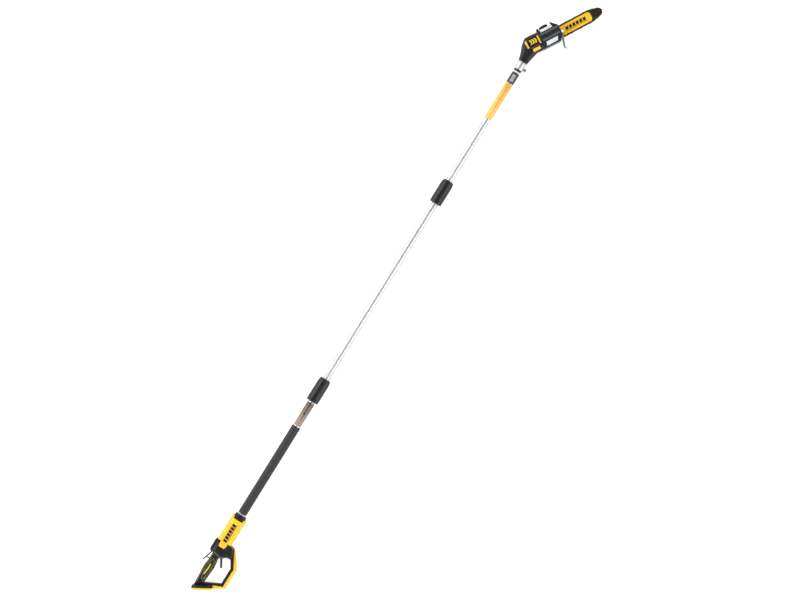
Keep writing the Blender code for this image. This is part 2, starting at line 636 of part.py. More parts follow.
def pole():
    middle_start, lower_end, lower_wire_end, middle_wire_start = coupling(1, COUPLER_1_X, TOOL, TOOL, TOOL)
    upper_start, middle_end, middle_wire_end, upper_wire_start = coupling(2, COUPLER_2_X, TOOL, TOOL, TOOL)
    tube("lower_tube", -140 * MM, lower_end, TUBE_BORE, TUBE_RADIUS, TOOL, "aluminium")
    tube("middle_tube", middle_start, middle_end, TUBE_BORE, TUBE_RADIUS, TOOL, "aluminium")
    upper_end = CLAMP_X + CLAMP_LENGTH + CLAMP_SPIGOT - 4 * MM
    tube("upper_tube", upper_start, upper_end, TUBE_BORE, TUBE_RADIUS, TOOL, "aluminium")
    turned("foam_grip", [(FOAM_X, BORE), (FOAM_X, FOAM_RADIUS - 1.5 * MM), (FOAM_X + 2 * MM, FOAM_RADIUS),
                         (FOAM_X + FOAM_LENGTH - 2 * MM, FOAM_RADIUS), (FOAM_X + FOAM_LENGTH, FOAM_RADIUS - 1.5 * MM),
                         (FOAM_X + FOAM_LENGTH, BORE)], TOOL, "foam")
    wrap = tube("tube_wrap", WRAP_X, WRAP_X + WRAP_LENGTH, BORE, BORE + WRAP_THICK, TOOL, "bronze_wrap")
    rivet_x = WRAP_X + WRAP_LENGTH * 0.52
    rivet = (rivet_x, 0, 0)
    hole = rod("rivet_hole", 5 * MM, 30 * MM, 3 * MM, TOOL, None, "Z", rivet, 12)
    cut(wrap, hole)
    cut(bpy.data.objects["lower_tube"], hole)
    turned("tube_rivet", [(TUBE_BORE - 2 * MM, 0), (TUBE_BORE - 2 * MM, 2.6 * MM), (BORE + WRAP_THICK + GAP, 2.6 * MM),
                          (BORE + WRAP_THICK + GAP, 4 * MM), (BORE + WRAP_THICK + 1.2 * MM, 3.4 * MM),
                          (BORE + WRAP_THICK + 1.6 * MM, 0)], TOOL, "black_plastic", "Z", rivet, 12)
    rating_start = CLAMP_X - RATING_WRAP_LENGTH - 1 * MM
    tube("rating_wrap", rating_start, CLAMP_X - 1 * MM, BORE, BORE + WRAP_THICK, TOOL, "black_wrap")
    tube("caution_wrap", rating_start - 3 * MM - CAUTION_WRAP_LENGTH, rating_start - 3 * MM, BORE, BORE + WRAP_THICK,
         TOOL, "yellow_wrap")
    rod("lower_cable", -168 * MM, lower_wire_end - 1 * MM, CABLE_RADIUS, TOOL, "cable_rubber", sides=10)
    rod("middle_cable", middle_wire_start + 1 * MM, middle_wire_end - 1 * MM, CABLE_RADIUS, TOOL, "cable_rubber",
        sides=10)
    rod("upper_cable", upper_wire_start + 1 * MM, upper_end + 20 * MM, CABLE_RADIUS, TOOL, "cable_rubber", sides=10)


# ---------------------------------------------------------------- saw head, in the head's frame
def to_head(x, y):
    """A point given from the bend along the pole and across it, in the head's frame."""
    bend = HEAD_BEND
    return (x * math.cos(bend) - y * math.sin(bend), x * math.sin(bend) + y * math.cos(bend))


FRONT_TOP = in_mm([(140, 31), (121, 50), (117, 56), (106, 57.5), (103, 46), (55, 46), (55, 57), (46, 56.5), (41.4, 46)])
FRONT_LOW = in_mm([(41.4, -38), (121, -40), (140, -16)])


def motor_housing(name, side):
    ring = TUBE_RADIUS + CLAMP_WALL + 0.5 * MM
    sections = [
        (to_head(-NECK_LENGTH, ring), to_head(-NECK_LENGTH, -ring), ring),
        (to_head(-50 * MM, ring + 9 * MM), to_head(-54 * MM, -ring - 4 * MM), ring + 7 * MM),
        (to_head(-18 * MM, ring + 22 * MM), to_head(-28 * MM, -ring - 9.5 * MM), ring + 13 * MM),
        (*in_mm([(-17.5, 46.5), (9, -35.5)]), BODY_HALF - 0.5 * MM),
        (*in_mm([(-13, 48.5), (14, -36.5)]), BODY_HALF),
        (*in_mm([(20, 46.5), (28, -37)]), BODY_HALF),
        ((SPLIT_A, 44.5 * MM), (SPLIT_A, -38 * MM), BODY_HALF),
    ]
    shell = half_shell(name, sections, side, HEAD_WALL, HEAD, "black_plastic", 11, 3.6)
    cut(shell, rod(f"{name}_clamp_bore", -10 * MM, CLAMP_SPIGOT + 4 * MM, TUBE_RADIUS + CLAMP_WALL - 2 * MM,
                   TOOL, None, place=(CLAMP_X + CLAMP_LENGTH, 0, 0), sides=ROUND))
    return shell


def clamp():
    outer = TUBE_RADIUS + CLAMP_WALL
    spigot = outer - 2 * MM - GAP
    casting = turned("clamp_casting", [(0.3 * MM, BORE), (0.3 * MM, outer), (CLAMP_LENGTH - GAP, outer),
                                       (CLAMP_LENGTH - GAP, spigot), (CLAMP_LENGTH + CLAMP_SPIGOT, spigot),
                                       (CLAMP_LENGTH + CLAMP_SPIGOT, BORE)],
                     TOOL, "cast_aluminium", place=(CLAMP_X, 0, 0))
    root = BORE + 0.7 * MM  # the ears start inside the wall, clear of the tube
    tip = root + 16 * MM
    ears = prism("clamp_ears", rounded([(4 * MM, -tip), (17 * MM, -tip), (17 * MM, -root), (4 * MM, -root)], 4 * MM),
                 -11 * MM, 11 * MM, TOOL, None)
    boss = rod("clamp_boss", BORE + 1.2 * MM, outer + 4 * MM, 4 * MM, TOOL, None, "Y", (CLAMP_X + 10 * MM, 0, 0), 12)
    split = prism("clamp_split", in_mm([(-5, -50), (25, -50), (25, -10), (-5, -10)]), -1.2 * MM, 1.2 * MM, TOOL, None)
    for piece in (ears, split):
        piece.location = (CLAMP_X, 0, 0)
    join(casting, ears, boss)
    bolt_at = (CLAMP_X + 10.5 * MM, 7 * MM - tip, 0)
    cut(casting, split, rod("clamp_bolt_bore", -20 * MM, 20 * MM, 2.5 * MM + GAP, TOOL, None, "Z", bolt_at, 12))
    turned("clamp_bolt", [(-14 * MM, 0), (-14 * MM, 2.5 * MM), (11.3 * MM, 2.5 * MM), (11.3 * MM, 4.6 * MM),
                                 (15.5 * MM, 4.6 * MM), (15.5 * MM, 0)], TOOL, "bare_steel", "Z", bolt_at, 12)


def front_cover():
    top = BODY_HALF - 2 * MM
    outline = FRONT_TOP + FRONT_LOW
    cover = prism("front_cover", outline, SEAM / 2, top, HEAD, "dark_cover", 4 * MM)
    tank_bay = prism("front_tank_bay", in_mm([(54, -35), (119, -35), (119, 60), (54, 60)]), -1 * MM, 34.4 * MM, HEAD, None)
    window_low = prism("front_window_low", LOW_WINDOW, 20 * MM, 60 * MM, HEAD, None)
    window_top = prism("front_window_top", in_mm([(56, 33), (116, 33), (107, 60), (56, 60)]), 20 * MM, 60 * MM, HEAD, None)
    shaft_way = prism("front_shaft_way", in_mm([(30, -16), (60, -16), (60, 16), (30, 16)]), -1 * MM, 20 * MM, HEAD, None)
    cap_well = rod("front_cap_well", CAP_FLOOR - 1 * MM, 80 * MM, CAP_RADIUS + 1.2 * MM, HEAD, None, "Y",
                   (CAP_A, 0, CAP_Z), ROUND)
    cut(cover, tank_bay, window_low, window_top, shaft_way, cap_well)
    for index, (a, b) in enumerate(COVER_SCREWS):
        cut(cover, rod(f"front_screw_hole_{index}", -1 * MM, 14 * MM, SCREW_RADIUS + GAP, HEAD, None, "Z", (a, b, 0), 12))
    return cover


LOW_WINDOW = in_mm([(53.8, -31), (109, -31), (117.6, -12), (60, -12)])
COVER_SCREWS = in_mm([(127, 32)])


def gear_case():
    outline = in_mm([(41.4, -37), (121, -39), (136.5, -15), (136.5, 29), (121, 45), (41.4, 45)])
    case = prism("gear_case", outline, -CASE_THICK, -SEAM / 2, HEAD, "cast_aluminium")
    well = prism("gear_well", in_mm([(30, -13), (66, -13), (66, -20), (104, -20), (104, 20), (66, 20), (66, 13), (30, 13)]),
                 -8 * MM, 5 * MM, HEAD, None)
    shaft = rod("gear_shaft_bore", -40 * MM, 5 * MM, BEARING_RADIUS + GAP, HEAD, None, "Z", (SPROCKET_A, 0, 0), FINE)
    stud = rod("bar_stud", -34 * MM, -3 * MM, STUD_RADIUS - 0.1 * MM, HEAD, None, "Z", (STUD_A, 0, 0), 16)
    tension = rod("gear_tension_bore", 104 * MM, 150 * MM, TENSION_RADIUS + GAP, HEAD, None, "X",
                  (0, TENSION_B, TENSION_Z), 12)
    pad = prism("bar_pad", in_mm([(108, -14), (136, -14), (136, 14), (108, 14)]), BAR_Z + BAR_THICK / 2 + GAP,
                -CASE_THICK + 1 * MM, HEAD, None)
    cut(case, well, shaft, tension)
    join(case, pad, stud)
    for index, (a, b) in enumerate(COVER_SCREWS, 1):
        hole = rod(f"gear_screw_hole_{index}", -20 * MM, 5 * MM, SCREW_RADIUS + GAP, HEAD, None, "Z", (a, b, 0), 12)
        seat = rod(f"gear_screw_seat_{index}", -20 * MM, -9 * MM, SCREW_HEAD + GAP, HEAD, None, "Z", (a, b, 0), 12)
        cut(case, hole, seat)
        screw("cover_screw", (a, b, 0), -9.3 * MM, 13 * MM, HEAD)
    return case


BEARING_RADIUS = 9 * MM
SHAFT_RADIUS = 5 * MM
TENSION_RADIUS = 2.5 * MM
TENSION_B = 11 * MM
TENSION_Z = -6.5 * MM
BAR_Z = -CASE_THICK - GAP - CHAIN_HALF


def sprocket_cover():
    outline = in_mm([(41.4, -37.5), (121, -39.5), (139, -16), (139, 30), (121, 45.7), (41.4, 45.7)])
    cover = prism("sprocket_cover", outline, -BODY_HALF, -CASE_THICK - GAP, HEAD, "black_plastic", 3 * MM)
    well = prism("sprocket_well", in_mm([(60, -23), (80, -34.5), (160, -34.5), (160, 34.5), (80, 34.5), (60, 23)]),
                 -CASE_THICK - 10 * MM, 5 * MM, HEAD, None)
    end_well = rod("sprocket_end_well", -31.5 * MM, -20 * MM, 9 * MM, HEAD, None, "Z", (SPROCKET_A, 0, 0), FINE)
    knob_well = rod("knob_well", -60 * MM, -26 * MM, KNOB_RADIUS + 1.5 * MM, HEAD, None, "Z", (KNOB_A, 0, 0), ROUND)
    stud = rod("cover_stud_bore", -60 * MM, 5 * MM, STUD_RADIUS + GAP, HEAD, None, "Z", (STUD_A, 0, 0), 16)
    cut(cover, well, end_well, knob_well, stud)
    return cover


KNOB_A = STUD_A
BAR_CIRCLES = in_mm([(112, -10, 6), (112, 10, 6)]) + [
    (132 * MM, BAR_HALF - 6 * MM, 6 * MM), (132 * MM, 6 * MM - BAR_HALF, 6 * MM),
    (BAR_SHOULDER_A, BAR_HALF - 8 * MM, 8 * MM), (BAR_SHOULDER_A, 8 * MM - BAR_HALF, 8 * MM),
    (BAR_NOSE_A, 0, BAR_NOSE_RADIUS)]
CHAIN_CIRCLES = BAR_CIRCLES[2:] + [(SPROCKET_A, 0, SPROCKET_RADIUS + 0.5 * MM)]


def bar_and_chain():
    low, high = BAR_Z - BAR_THICK / 2, BAR_Z + BAR_THICK / 2
    bar = prism("guide_bar", support_loop(BAR_CIRCLES, 0, 64), low, high, HEAD, "bar_yellow")
    slot_ends = [(BAR_SLOT[0], 0, BAR_SLOT_HALF), (BAR_SLOT[1], 0, BAR_SLOT_HALF)]
    slot = prism("bar_slot", support_loop(slot_ends, 0, 20), low - 5 * MM, high + 5 * MM, HEAD, None)
    nose = tube("bar_nose_slot", -STAR_HALF - GAP, STAR_HALF + GAP, 4 * MM, BAR_NOSE_RADIUS + 4 * MM, HEAD, None, "Z",
                (BAR_NOSE_A, 0, BAR_Z), FINE)
    cut(bar, slot, nose)
    count = 72
    inner = support_loop(CHAIN_CIRCLES, 0.4 * MM, count)
    outer = support_loop(CHAIN_CIRCLES, CHAIN_HEIGHT, count)
    chain = prism("saw_chain", outer, BAR_Z - CHAIN_HALF, BAR_Z + CHAIN_HALF, HEAD, "chain_steel")
    hollow = prism("chain_hollow", inner, BAR_Z - 4 * CHAIN_HALF, BAR_Z + 4 * CHAIN_HALF, HEAD, None)
    cut(chain, hollow)
    run = (BAR_SHOULDER_A - 150 * MM) / (CUTTER_COUNT // 2)
    for index in range(CUTTER_COUNT // 2 + 1):
        for way in (-1, 1):
            a = 150 * MM + run * (index + (0.4 if way < 0 else 0))
            if a > BAR_SHOULDER_A - 2 * MM:
                continue
            top = BAR_HALF + CHAIN_HEIGHT + 1.6 * MM
            wedge = [(a - 5 * MM, way * (BAR_HALF + 3 * MM)), (a - 5 * MM, way * (top - 1 * MM)),
                     (a + 4 * MM, way * top), (a + 4 * MM, way * (BAR_HALF + 3 * MM))]
            tooth = prism(f"cutter_{index}_{way}", wedge, BAR_Z - CHAIN_HALF + 0.4 * MM, BAR_Z + CHAIN_HALF - 0.4 * MM,
                          HEAD, None)
            join(chain, tooth)
    star = toothed("nose_sprocket", STAR_TEETH, STAR_RADIUS - 3 * MM, STAR_RADIUS, -STAR_HALF, STAR_HALF, NOSE_AXIS,
                   "chain_steel")
    cut(star, rod("star_bore", -5 * MM, 5 * MM, 4 * MM + GAP, NOSE_AXIS, None, "Z", sides=16))


def branch_hook():
    line = in_mm([(142, -4), (142, -17), (135.5, -33), (129.5, -50), (125.5, -65), (127, -74), (133, -77)])
    widths = in_mm([(2.2,), (2.6,), (4,), (4.5,), (4.2,), (3.2,), (2,)])
    left, right = [], []
    for index, point in enumerate(line):
        before, after = Vector(line[max(index - 1, 0)]), Vector(line[min(index + 1, len(line) - 1)])
        across = (after - before).normalized().orthogonal() * widths[index][0]
        left.append(tuple(Vector(point) + across))
        right.append(tuple(Vector(point) - across))
    hook = prism("branch_hook", left + right[::-1], HOOK_Z - 2 * MM, HOOK_Z + 2 * MM, HEAD, "cast_aluminium")
    return hook


HOOK_Z = -6 * MM


def drive():
    """Motor, bevel gears, sprocket and bearings, all round the crossing of motor axis and sprocket axis."""
    start, end = MOTOR_A
    tube("motor_stator", start, end, ROTOR_RADIUS + MOTOR_AIR_GAP, MOTOR_RADIUS, HEAD, "motor_steel",
         place=(0, 0, MOTOR_Z))
    pinion_radius = GEAR_RADIUS * PINION_TEETH / GEAR_TEETH
    cone = math.atan2(pinion_radius, GEAR_RADIUS)
    reach = math.hypot(pinion_radius, GEAR_RADIUS)
    rotor = turned("motor_rotor", [(start + 2 * MM, 0), (start + 2 * MM, ROTOR_RADIUS), (end - 2 * MM, ROTOR_RADIUS),
                                   (end - 2 * MM, 3 * MM), (SPROCKET_A - GEAR_RADIUS - 1 * MM, 3 * MM),
                                   (SPROCKET_A - GEAR_RADIUS - 1 * MM, 0)], MOTOR_AXIS, "motor_steel", sides=24)
    pinion = bevel_wheel("pinion", PINION_TEETH, cone, reach, 0.0, MOTOR_AXIS)
    pinion.location = (SPROCKET_A, 0, 0)
    pinion.rotation_euler = (0, -math.pi / 2, 0)
    join(rotor, pinion)
    wheel = bevel_wheel("bevel_wheel", GEAR_TEETH, math.pi / 2 - cone, reach, 0.5, SPROCKET_AXIS)
    wheel.rotation_euler = (math.pi, 0, 0)
    shaft = rod("sprocket_shaft", -30 * MM - MOTOR_Z, -3 * MM, SHAFT_RADIUS, SPROCKET_AXIS, "bare_steel", "Z")
    join(shaft, wheel)
    sprocket = toothed("drive_sprocket", SPROCKET_TEETH, SPROCKET_RADIUS - 5 * MM, SPROCKET_RADIUS,
                       BAR_Z - MOTOR_Z - 2.6 * MM, BAR_Z - MOTOR_Z + 2.6 * MM, SPROCKET_AXIS, "chain_steel")
    cut(sprocket, rod("sprocket_bore", -60 * MM, 60 * MM, SHAFT_RADIUS + GAP, SPROCKET_AXIS, None, "Z"))
    tube("shaft_bearing", -CASE_THICK + 0.2 * MM, -CASE_THICK + 4.6 * MM, SHAFT_RADIUS + GAP, BEARING_RADIUS, HEAD,
         "bare_steel", "Z", (SPROCKET_A, 0, 0), FINE)


def bevel_wheel(name, teeth, cone, reach, phase, parent):
    """A straight bevel wheel with its apex at the origin, opening along +Z."""
    mesh = bmesh.new()
    depth = 1.1 * MM / reach
    grids = []
    for distance in (reach, reach * 0.68):
        ring = []
        for tooth in range(teeth):
            for part, lift in ((-0.30, -1.1), (-0.17, 0.7), (0.17, 0.7), (0.30, -1.1)):
                angle = 2 * math.pi * (tooth + phase + part) / teeth
                slope = cone + lift * depth
                ring.append(mesh.verts.new((distance * math.sin(slope) * math.cos(angle),
                                            distance * math.sin(slope) * math.sin(angle),
                                            distance * math.cos(slope))))
        grids.append(ring)
    big, small = grids
    count = len(big)
    back = mesh.verts.new((0, 0, reach * math.cos(cone) + 2.5 * MM))
    face = mesh.verts.new((0, 0, reach * 0.68 * math.cos(cone) + 0.2 * MM))
    for index in range(count):
        following = (index + 1) % count
        mesh.faces.new((big[index], big[following], small[following], small[index]))
        mesh.faces.new((big[following], big[index], back))
        mesh.faces.new((small[index], small[following], face))
    return add(name, mesh, parent, "bare_steel")


def oil_system():
    tank = prism("oil_tank", in_mm([(56, -33), (117, -33), (117, 45.3), (56, 45.3)]), 15 * MM, 33.6 * MM, HEAD,
                 "tank_plastic")
    upper = prism("oil_tank_top", in_mm([(56, 23), (117, 23), (117, 45.3), (56, 45.3)]), 3 * MM, 33 * MM, HEAD, None)
    pane_low = prism("oil_tank_pane", inset_outline(LOW_WINDOW, 0.7 * MM), 30 * MM, 35.4 * MM, HEAD, None)
    pane_top = prism("oil_tank_shoulder", in_mm([(57, 34), (114.8, 34), (110.8, 45.2), (57, 45.2)]), 30 * MM, 35.4 * MM,
                     HEAD, None)
    neck = rod("oil_tank_neck", 40 * MM, CAP_FLOOR + 5 * MM, NECK_BORE + 2.5 * MM, HEAD, None, "Y", (CAP_A, 0, CAP_Z))
    inside = prism("oil_tank_inside", in_mm([(58.5, -30.5), (114.5, -30.5), (114.5, 43), (58.5, 43)]), 17.5 * MM, 31 * MM,
                   HEAD, None)
    mouth = rod("oil_tank_mouth", 30 * MM, 70 * MM, NECK_BORE, HEAD, None, "Y", (CAP_A, 0, CAP_Z))
    join(tank, upper, pane_low, pane_top, neck)
    cut(tank, inside, mouth)
    neck_seat = NECK_BORE + 2.5 * MM + GAP
    cap = turned("oil_cap", [(CAP_FLOOR, neck_seat), (CAP_FLOOR, CAP_RADIUS), (CAP_TOP - 2 * MM, CAP_RADIUS),
                             (CAP_TOP, CAP_RADIUS - 3 * MM), (CAP_TOP, 0), (CAP_FLOOR + 5.5 * MM, 0),
                             (CAP_FLOOR + 5.5 * MM, neck_seat)], CAP_AXIS, "black_plastic", "Y", sides=36)
    return cap


def bar_fixings():
    knob = rod("bar_knob", -36.5 * MM, -26.4 * MM, KNOB_RADIUS, KNOB_AXIS, "grey_plastic", "Z", sides=ROUND)
    bar_across = prism("knob_grip_left", in_mm([(-20, 4), (20, 4), (20, 20), (-20, 20)]), -40 * MM, -29 * MM, KNOB_AXIS, None)
    other_side = prism("knob_grip_right", in_mm([(-20, -20), (20, -20), (20, -4), (-20, -4)]), -40 * MM, -29 * MM,
                       KNOB_AXIS, None)
    bore = rod("knob_bore", -34.4 * MM, -20 * MM, STUD_RADIUS + GAP, KNOB_AXIS, None, "Z", sides=16)
    cut(knob, bar_across, other_side, bore)
    screw_piece = rod("tension_screw", 106 * MM, 135.5 * MM, TENSION_RADIUS, TENSION_AXIS, "bare_steel", "X", sides=12)
    cut(screw_piece, prism("tension_slot", in_mm([(134, -5), (140, -5), (140, 5), (134, 5)]), -0.5 * MM, 0.5 * MM,
                           TENSION_AXIS, None))


remove_everything()
FINISH = {
    "black_plastic": finish_material("black_plastic", (0.020, 0.021, 0.023), 0.5),
    "yellow_plastic": finish_material("yellow_plastic", (0.91, 0.53, 0.03), 0.4),
    "grip_rubber": finish_material("grip_rubber", (0.03, 0.03, 0.03), 0.8),
    "trigger_plastic": finish_material("trigger_plastic", (0.03, 0.03, 0.032), 0.45),
    "grey_plastic": finish_material("grey_plastic", (0.1, 0.1, 0.11), 0.5),
    "circuit_board": finish_material("circuit_board", (0.02, 0.15, 0.06), 0.5),
    "foam": finish_material("foam", (0.045, 0.045, 0.048), 0.9),
    "sleeve_rubber": finish_material("sleeve_rubber", (0.018, 0.018, 0.019), 0.55),
    "bronze_wrap": finish_material("bronze_wrap", (0.28, 0.15, 0.07), 0.35, 0.3),
    "yellow_wrap": finish_material("yellow_wrap", (0.85, 0.50, 0.05), 0.35),
    "black_wrap": finish_material("black_wrap", (0.03, 0.03, 0.03), 0.35),
    "aluminium": finish_material("aluminium", (0.80, 0.81, 0.82), 0.3, 1.0),
    "cast_aluminium": finish_material("cast_aluminium", (0.65, 0.66, 0.68), 0.45, 1.0),
    "bare_steel": finish_material("bare_steel", (0.55, 0.55, 0.56), 0.35, 1.0),
    "chain_steel": finish_material("chain_steel", (0.12, 0.11, 0.10), 0.4, 1.0),
    "bar_yellow": finish_material("bar_yellow", (0.95, 0.60, 0.02), 0.35),
    "dark_cover": finish_material("dark_cover", (0.05, 0.05, 0.055), 0.3),
    "tank_plastic": finish_material("tank_plastic", (0.85, 0.85, 0.84), 0.4),
    "motor_steel": finish_material("motor_steel", (0.35, 0.33, 0.32), 0.4, 1.0),
    "cable_rubber": finish_material("cable_rubber", (0.02, 0.02, 0.02), 0.6),
}
TOOL = empty("tool", None, (-REST_FACE_X, 0, BODY_HALF))
HEAD = empty("head", TOOL, (BEND_X, 0, 0), -HEAD_BEND)
CAP_AXIS = empty("oil_cap_axis", HEAD, (CAP_A, 0, CAP_Z))
KNOB_AXIS = empty("bar_knob_axis", HEAD, (STUD_A, 0, 0))
TENSION_AXIS = empty("tension_axis", HEAD, (0, TENSION_B, TENSION_Z))
MOTOR_AXIS = empty("motor_axis", HEAD, (0, 0, MOTOR_Z))
SPROCKET_AXIS = empty("sprocket_axis", HEAD, (SPROCKET_A, 0, MOTOR_Z))
NOSE_AXIS = empty("nose_sprocket_axis", HEAD, (BAR_NOSE_A, 0, BAR_Z))

handle()
pole()
clamp()
motor_housing("motor_housing_right", 1)
motor_housing("motor_housing_left", -1)
front_cover()
gear_case()
sprocket_cover()
bar_and_chain()
branch_hook()
drive()
oil_system()
bar_fixings()
bpy.context.view_layer.update()
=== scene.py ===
"""Pole saw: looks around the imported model.

The tool lies on its left side. Shapes are written in two frames: the tool's, whose x is the pole's axis, and
the head's, whose x is the guide bar's. Both put z = 0 on the middle plane of the tool.
"""

import json
import math

import bpy
from mathutils import Matrix, Vector


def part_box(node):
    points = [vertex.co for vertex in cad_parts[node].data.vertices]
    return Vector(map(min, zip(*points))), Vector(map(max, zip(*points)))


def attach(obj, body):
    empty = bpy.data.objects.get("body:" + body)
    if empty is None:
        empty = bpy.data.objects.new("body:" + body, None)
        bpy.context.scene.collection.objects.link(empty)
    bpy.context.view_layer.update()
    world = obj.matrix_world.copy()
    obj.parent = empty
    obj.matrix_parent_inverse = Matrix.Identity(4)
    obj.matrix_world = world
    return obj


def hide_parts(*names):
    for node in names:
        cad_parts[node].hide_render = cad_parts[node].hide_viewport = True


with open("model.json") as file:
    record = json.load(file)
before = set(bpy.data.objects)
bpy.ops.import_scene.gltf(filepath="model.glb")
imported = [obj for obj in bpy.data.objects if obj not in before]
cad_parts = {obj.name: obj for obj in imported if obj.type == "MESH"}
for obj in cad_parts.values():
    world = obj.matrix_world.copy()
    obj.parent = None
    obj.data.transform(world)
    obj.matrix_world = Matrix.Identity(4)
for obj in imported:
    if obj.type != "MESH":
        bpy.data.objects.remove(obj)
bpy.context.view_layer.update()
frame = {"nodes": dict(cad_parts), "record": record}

MM = 0.001
MIDDLE = 38 * MM  # height of the tool's middle plane
HEAD_TURN = math.radians(-30)  # from the pole to the guide bar
TOOL = Matrix.Translation((70 * MM, 0, MIDDLE))
HEAD = Matrix.Translation((2490.5 * MM, 0, MIDDLE)) @ Matrix.Rotation(HEAD_TURN, 4, "Z")
ALONG_X = Matrix.Rotation(math.pi / 2, 4, "Y")
ALONG_Y = Matrix.Rotation(-math.pi / 2, 4, "X")
ON_POLE = Matrix.Translation((0, 0, MIDDLE)) @ ALONG_X


# ---------------------------------------------------------------- nodes of a material
class Finish:
    """A material built up node by node, on the object's own coordinates."""

    def __init__(self, name, colour, roughness, metallic=0.0, **settings):
        self.material = bpy.data.materials.new(name)
        self.material.use_nodes = True
        self.tree = self.material.node_tree
        self.shader = self.tree.nodes["Principled BSDF"]
        self.colour = (*colour, 1.0)
        self.set("Base Color", self.colour)
        self.set("Roughness", roughness)
        self.set("Metallic", metallic)
        for socket, value in settings.items():
            self.set(socket.replace("_", " "), value)
        self.place = self.tree.nodes.new("ShaderNodeTexCoord").outputs["Object"]

    def set(self, socket, value):
        self.shader.inputs[socket].default_value = value

    def link(self, source, target):
        self.tree.links.new(source, target)

    def turn(self, angle, scale):
        """A frame of its own for a pattern, turned in the plane that the tool lies in."""
        mapping = self.tree.nodes.new("ShaderNodeMapping")
        mapping.vector_type = "TEXTURE"
        mapping.inputs["Rotation"].default_value = (0, 0, angle)
        mapping.inputs["Scale"].default_value = scale
        self.link(self.place, mapping.inputs["Vector"])
        return mapping.outputs["Vector"]

    def noise(self, scale, detail, vector=None):
        node = self.tree.nodes.new("ShaderNodeTexNoise")
        node.inputs["Scale"].default_value = scale
        node.inputs["Detail"].default_value = detail
        self.link(vector or self.place, node.inputs["Vector"])
        return node.outputs["Fac"]

    def cells(self, scale):
        node = self.tree.nodes.new("ShaderNodeTexVoronoi")
        node.inputs["Scale"].default_value = scale
        self.link(self.place, node.inputs["Vector"])
        return node.outputs["Distance"]

    def ramp(self, value, *stops):
        node = self.tree.nodes.new("ShaderNodeValToRGB")
        band = node.color_ramp.elements
        while len(band) < len(stops):
            band.new(0.5)
        for element, (position, colour) in zip(band, stops):
            element.position = position
            element.color = colour if len(colour) == 4 else (*colour, 1.0)
        self.link(value, node.inputs["Fac"])
        return node.outputs["Color"]

    def feed(self, values, sockets):
        """Each value goes into its socket, as a link or as a constant."""
        for value, socket in zip(values, sockets):
            if isinstance(value, bpy.types.NodeSocket):
                self.link(value, socket)
            else:
                socket.default_value = value

    def mix(self, share, first, second):
        node = self.tree.nodes.new("ShaderNodeMix")
        node.data_type = "RGBA"
        self.feed((share, first, second), (node.inputs[0], node.inputs[6], node.inputs[7]))
        return node.outputs[2]

    def math(self, operation, first, second=0.5):
        node = self.tree.nodes.new("ShaderNodeMath")
        node.operation = operation
        self.feed((first, second), node.inputs)
        return node.outputs[0]

    def between(self, value, limits):
        return self.math("MULTIPLY", self.math("GREATER_THAN", value, limits[0]),
                         self.math("LESS_THAN", value, limits[1]))

    def axis(self, which):
        node = self.tree.nodes.new("ShaderNodeSeparateXYZ")
        self.link(self.place, node.inputs[0])
        return node.outputs[which]

    def bump(self, height, depth, strength=1.0):
        node = self.tree.nodes.new("ShaderNodeBump")
        node.inputs["Distance"].default_value = depth
        node.inputs["Strength"].default_value = strength
        if self.shader.inputs["Normal"].links:
            self.link(self.shader.inputs["Normal"].links[0].from_socket, node.inputs["Normal"])
        self.link(height, node.inputs["Height"])
        self.link(node.outputs["Normal"], self.shader.inputs["Normal"])

    def worn(self, share, scale):
        """Colour that drifts a little over the surface, in patches of that scale."""
        darker = tuple(value * (1 - share) for value in self.colour[:3])
        lighter = tuple(min(1.0, value * (1 + share)) for value in self.colour[:3])
        drift = self.ramp(self.noise(scale, 4), (0.3, darker), (0.7, lighter))
        self.link(drift, self.shader.inputs["Base Color"])

    def uneven(self, low, high, scale, vector=None):
        """Roughness between two values."""
        grey = self.ramp(self.noise(scale, 3, vector), (0.3, (low,) * 3), (0.7, (high,) * 3))
        self.link(grey, self.shader.inputs["Roughness"])


def moulded(name, colour, low, high, grain=700, depth=0.05, drift=0.12, **settings):
    """Moulded plastic: spark-eroded grain, slight drift of colour, rubbed and dull patches."""
    finish = Finish(name, colour, (low + high) / 2, **settings)
    finish.worn(drift, 35)
    finish.uneven(low, high, 60)
    finish.bump(finish.noise(grain, 2), depth * MM)
    return finish.material


def cast(name, colour, low, high):
    """Die-cast metal, left as it comes from the mould."""
    finish = Finish(name, colour, (low + high) / 2, 0.6)
    finish.worn(0.14, 50)
    finish.uneven(low, high, 120)
    finish.bump(finish.cells(450), 0.1 * MM, 0.6)
    return finish.material


def drawn(name, colour, low, high, stretch=(60, 900, 900), depth=0.01, turned=0.0, metallic=1.0):
    """Metal with lines along its own x."""
    finish = Finish(name, colour, (low + high) / 2, metallic)
    along = finish.turn(turned, tuple(1 / value for value in stretch))
    finish.worn(0.05, 20)
    finish.uneven(low, high, 1.0, along)
    finish.bump(finish.noise(1.0, 3, along), depth * MM)
    return finish.material


def foam():
    finish = Finish("charcoal_foam", (0.030, 0.030, 0.032), 0.62, Specular_IOR_Level=0.35)
    finish.worn(0.22, 260)
    finish.uneven(0.50, 0.72, 90)
    finish.bump(finish.cells(1500), 0.10 * MM, 0.5)
    finish.bump(finish.noise(240, 4), 0.25 * MM, 0.5)
    return finish.material


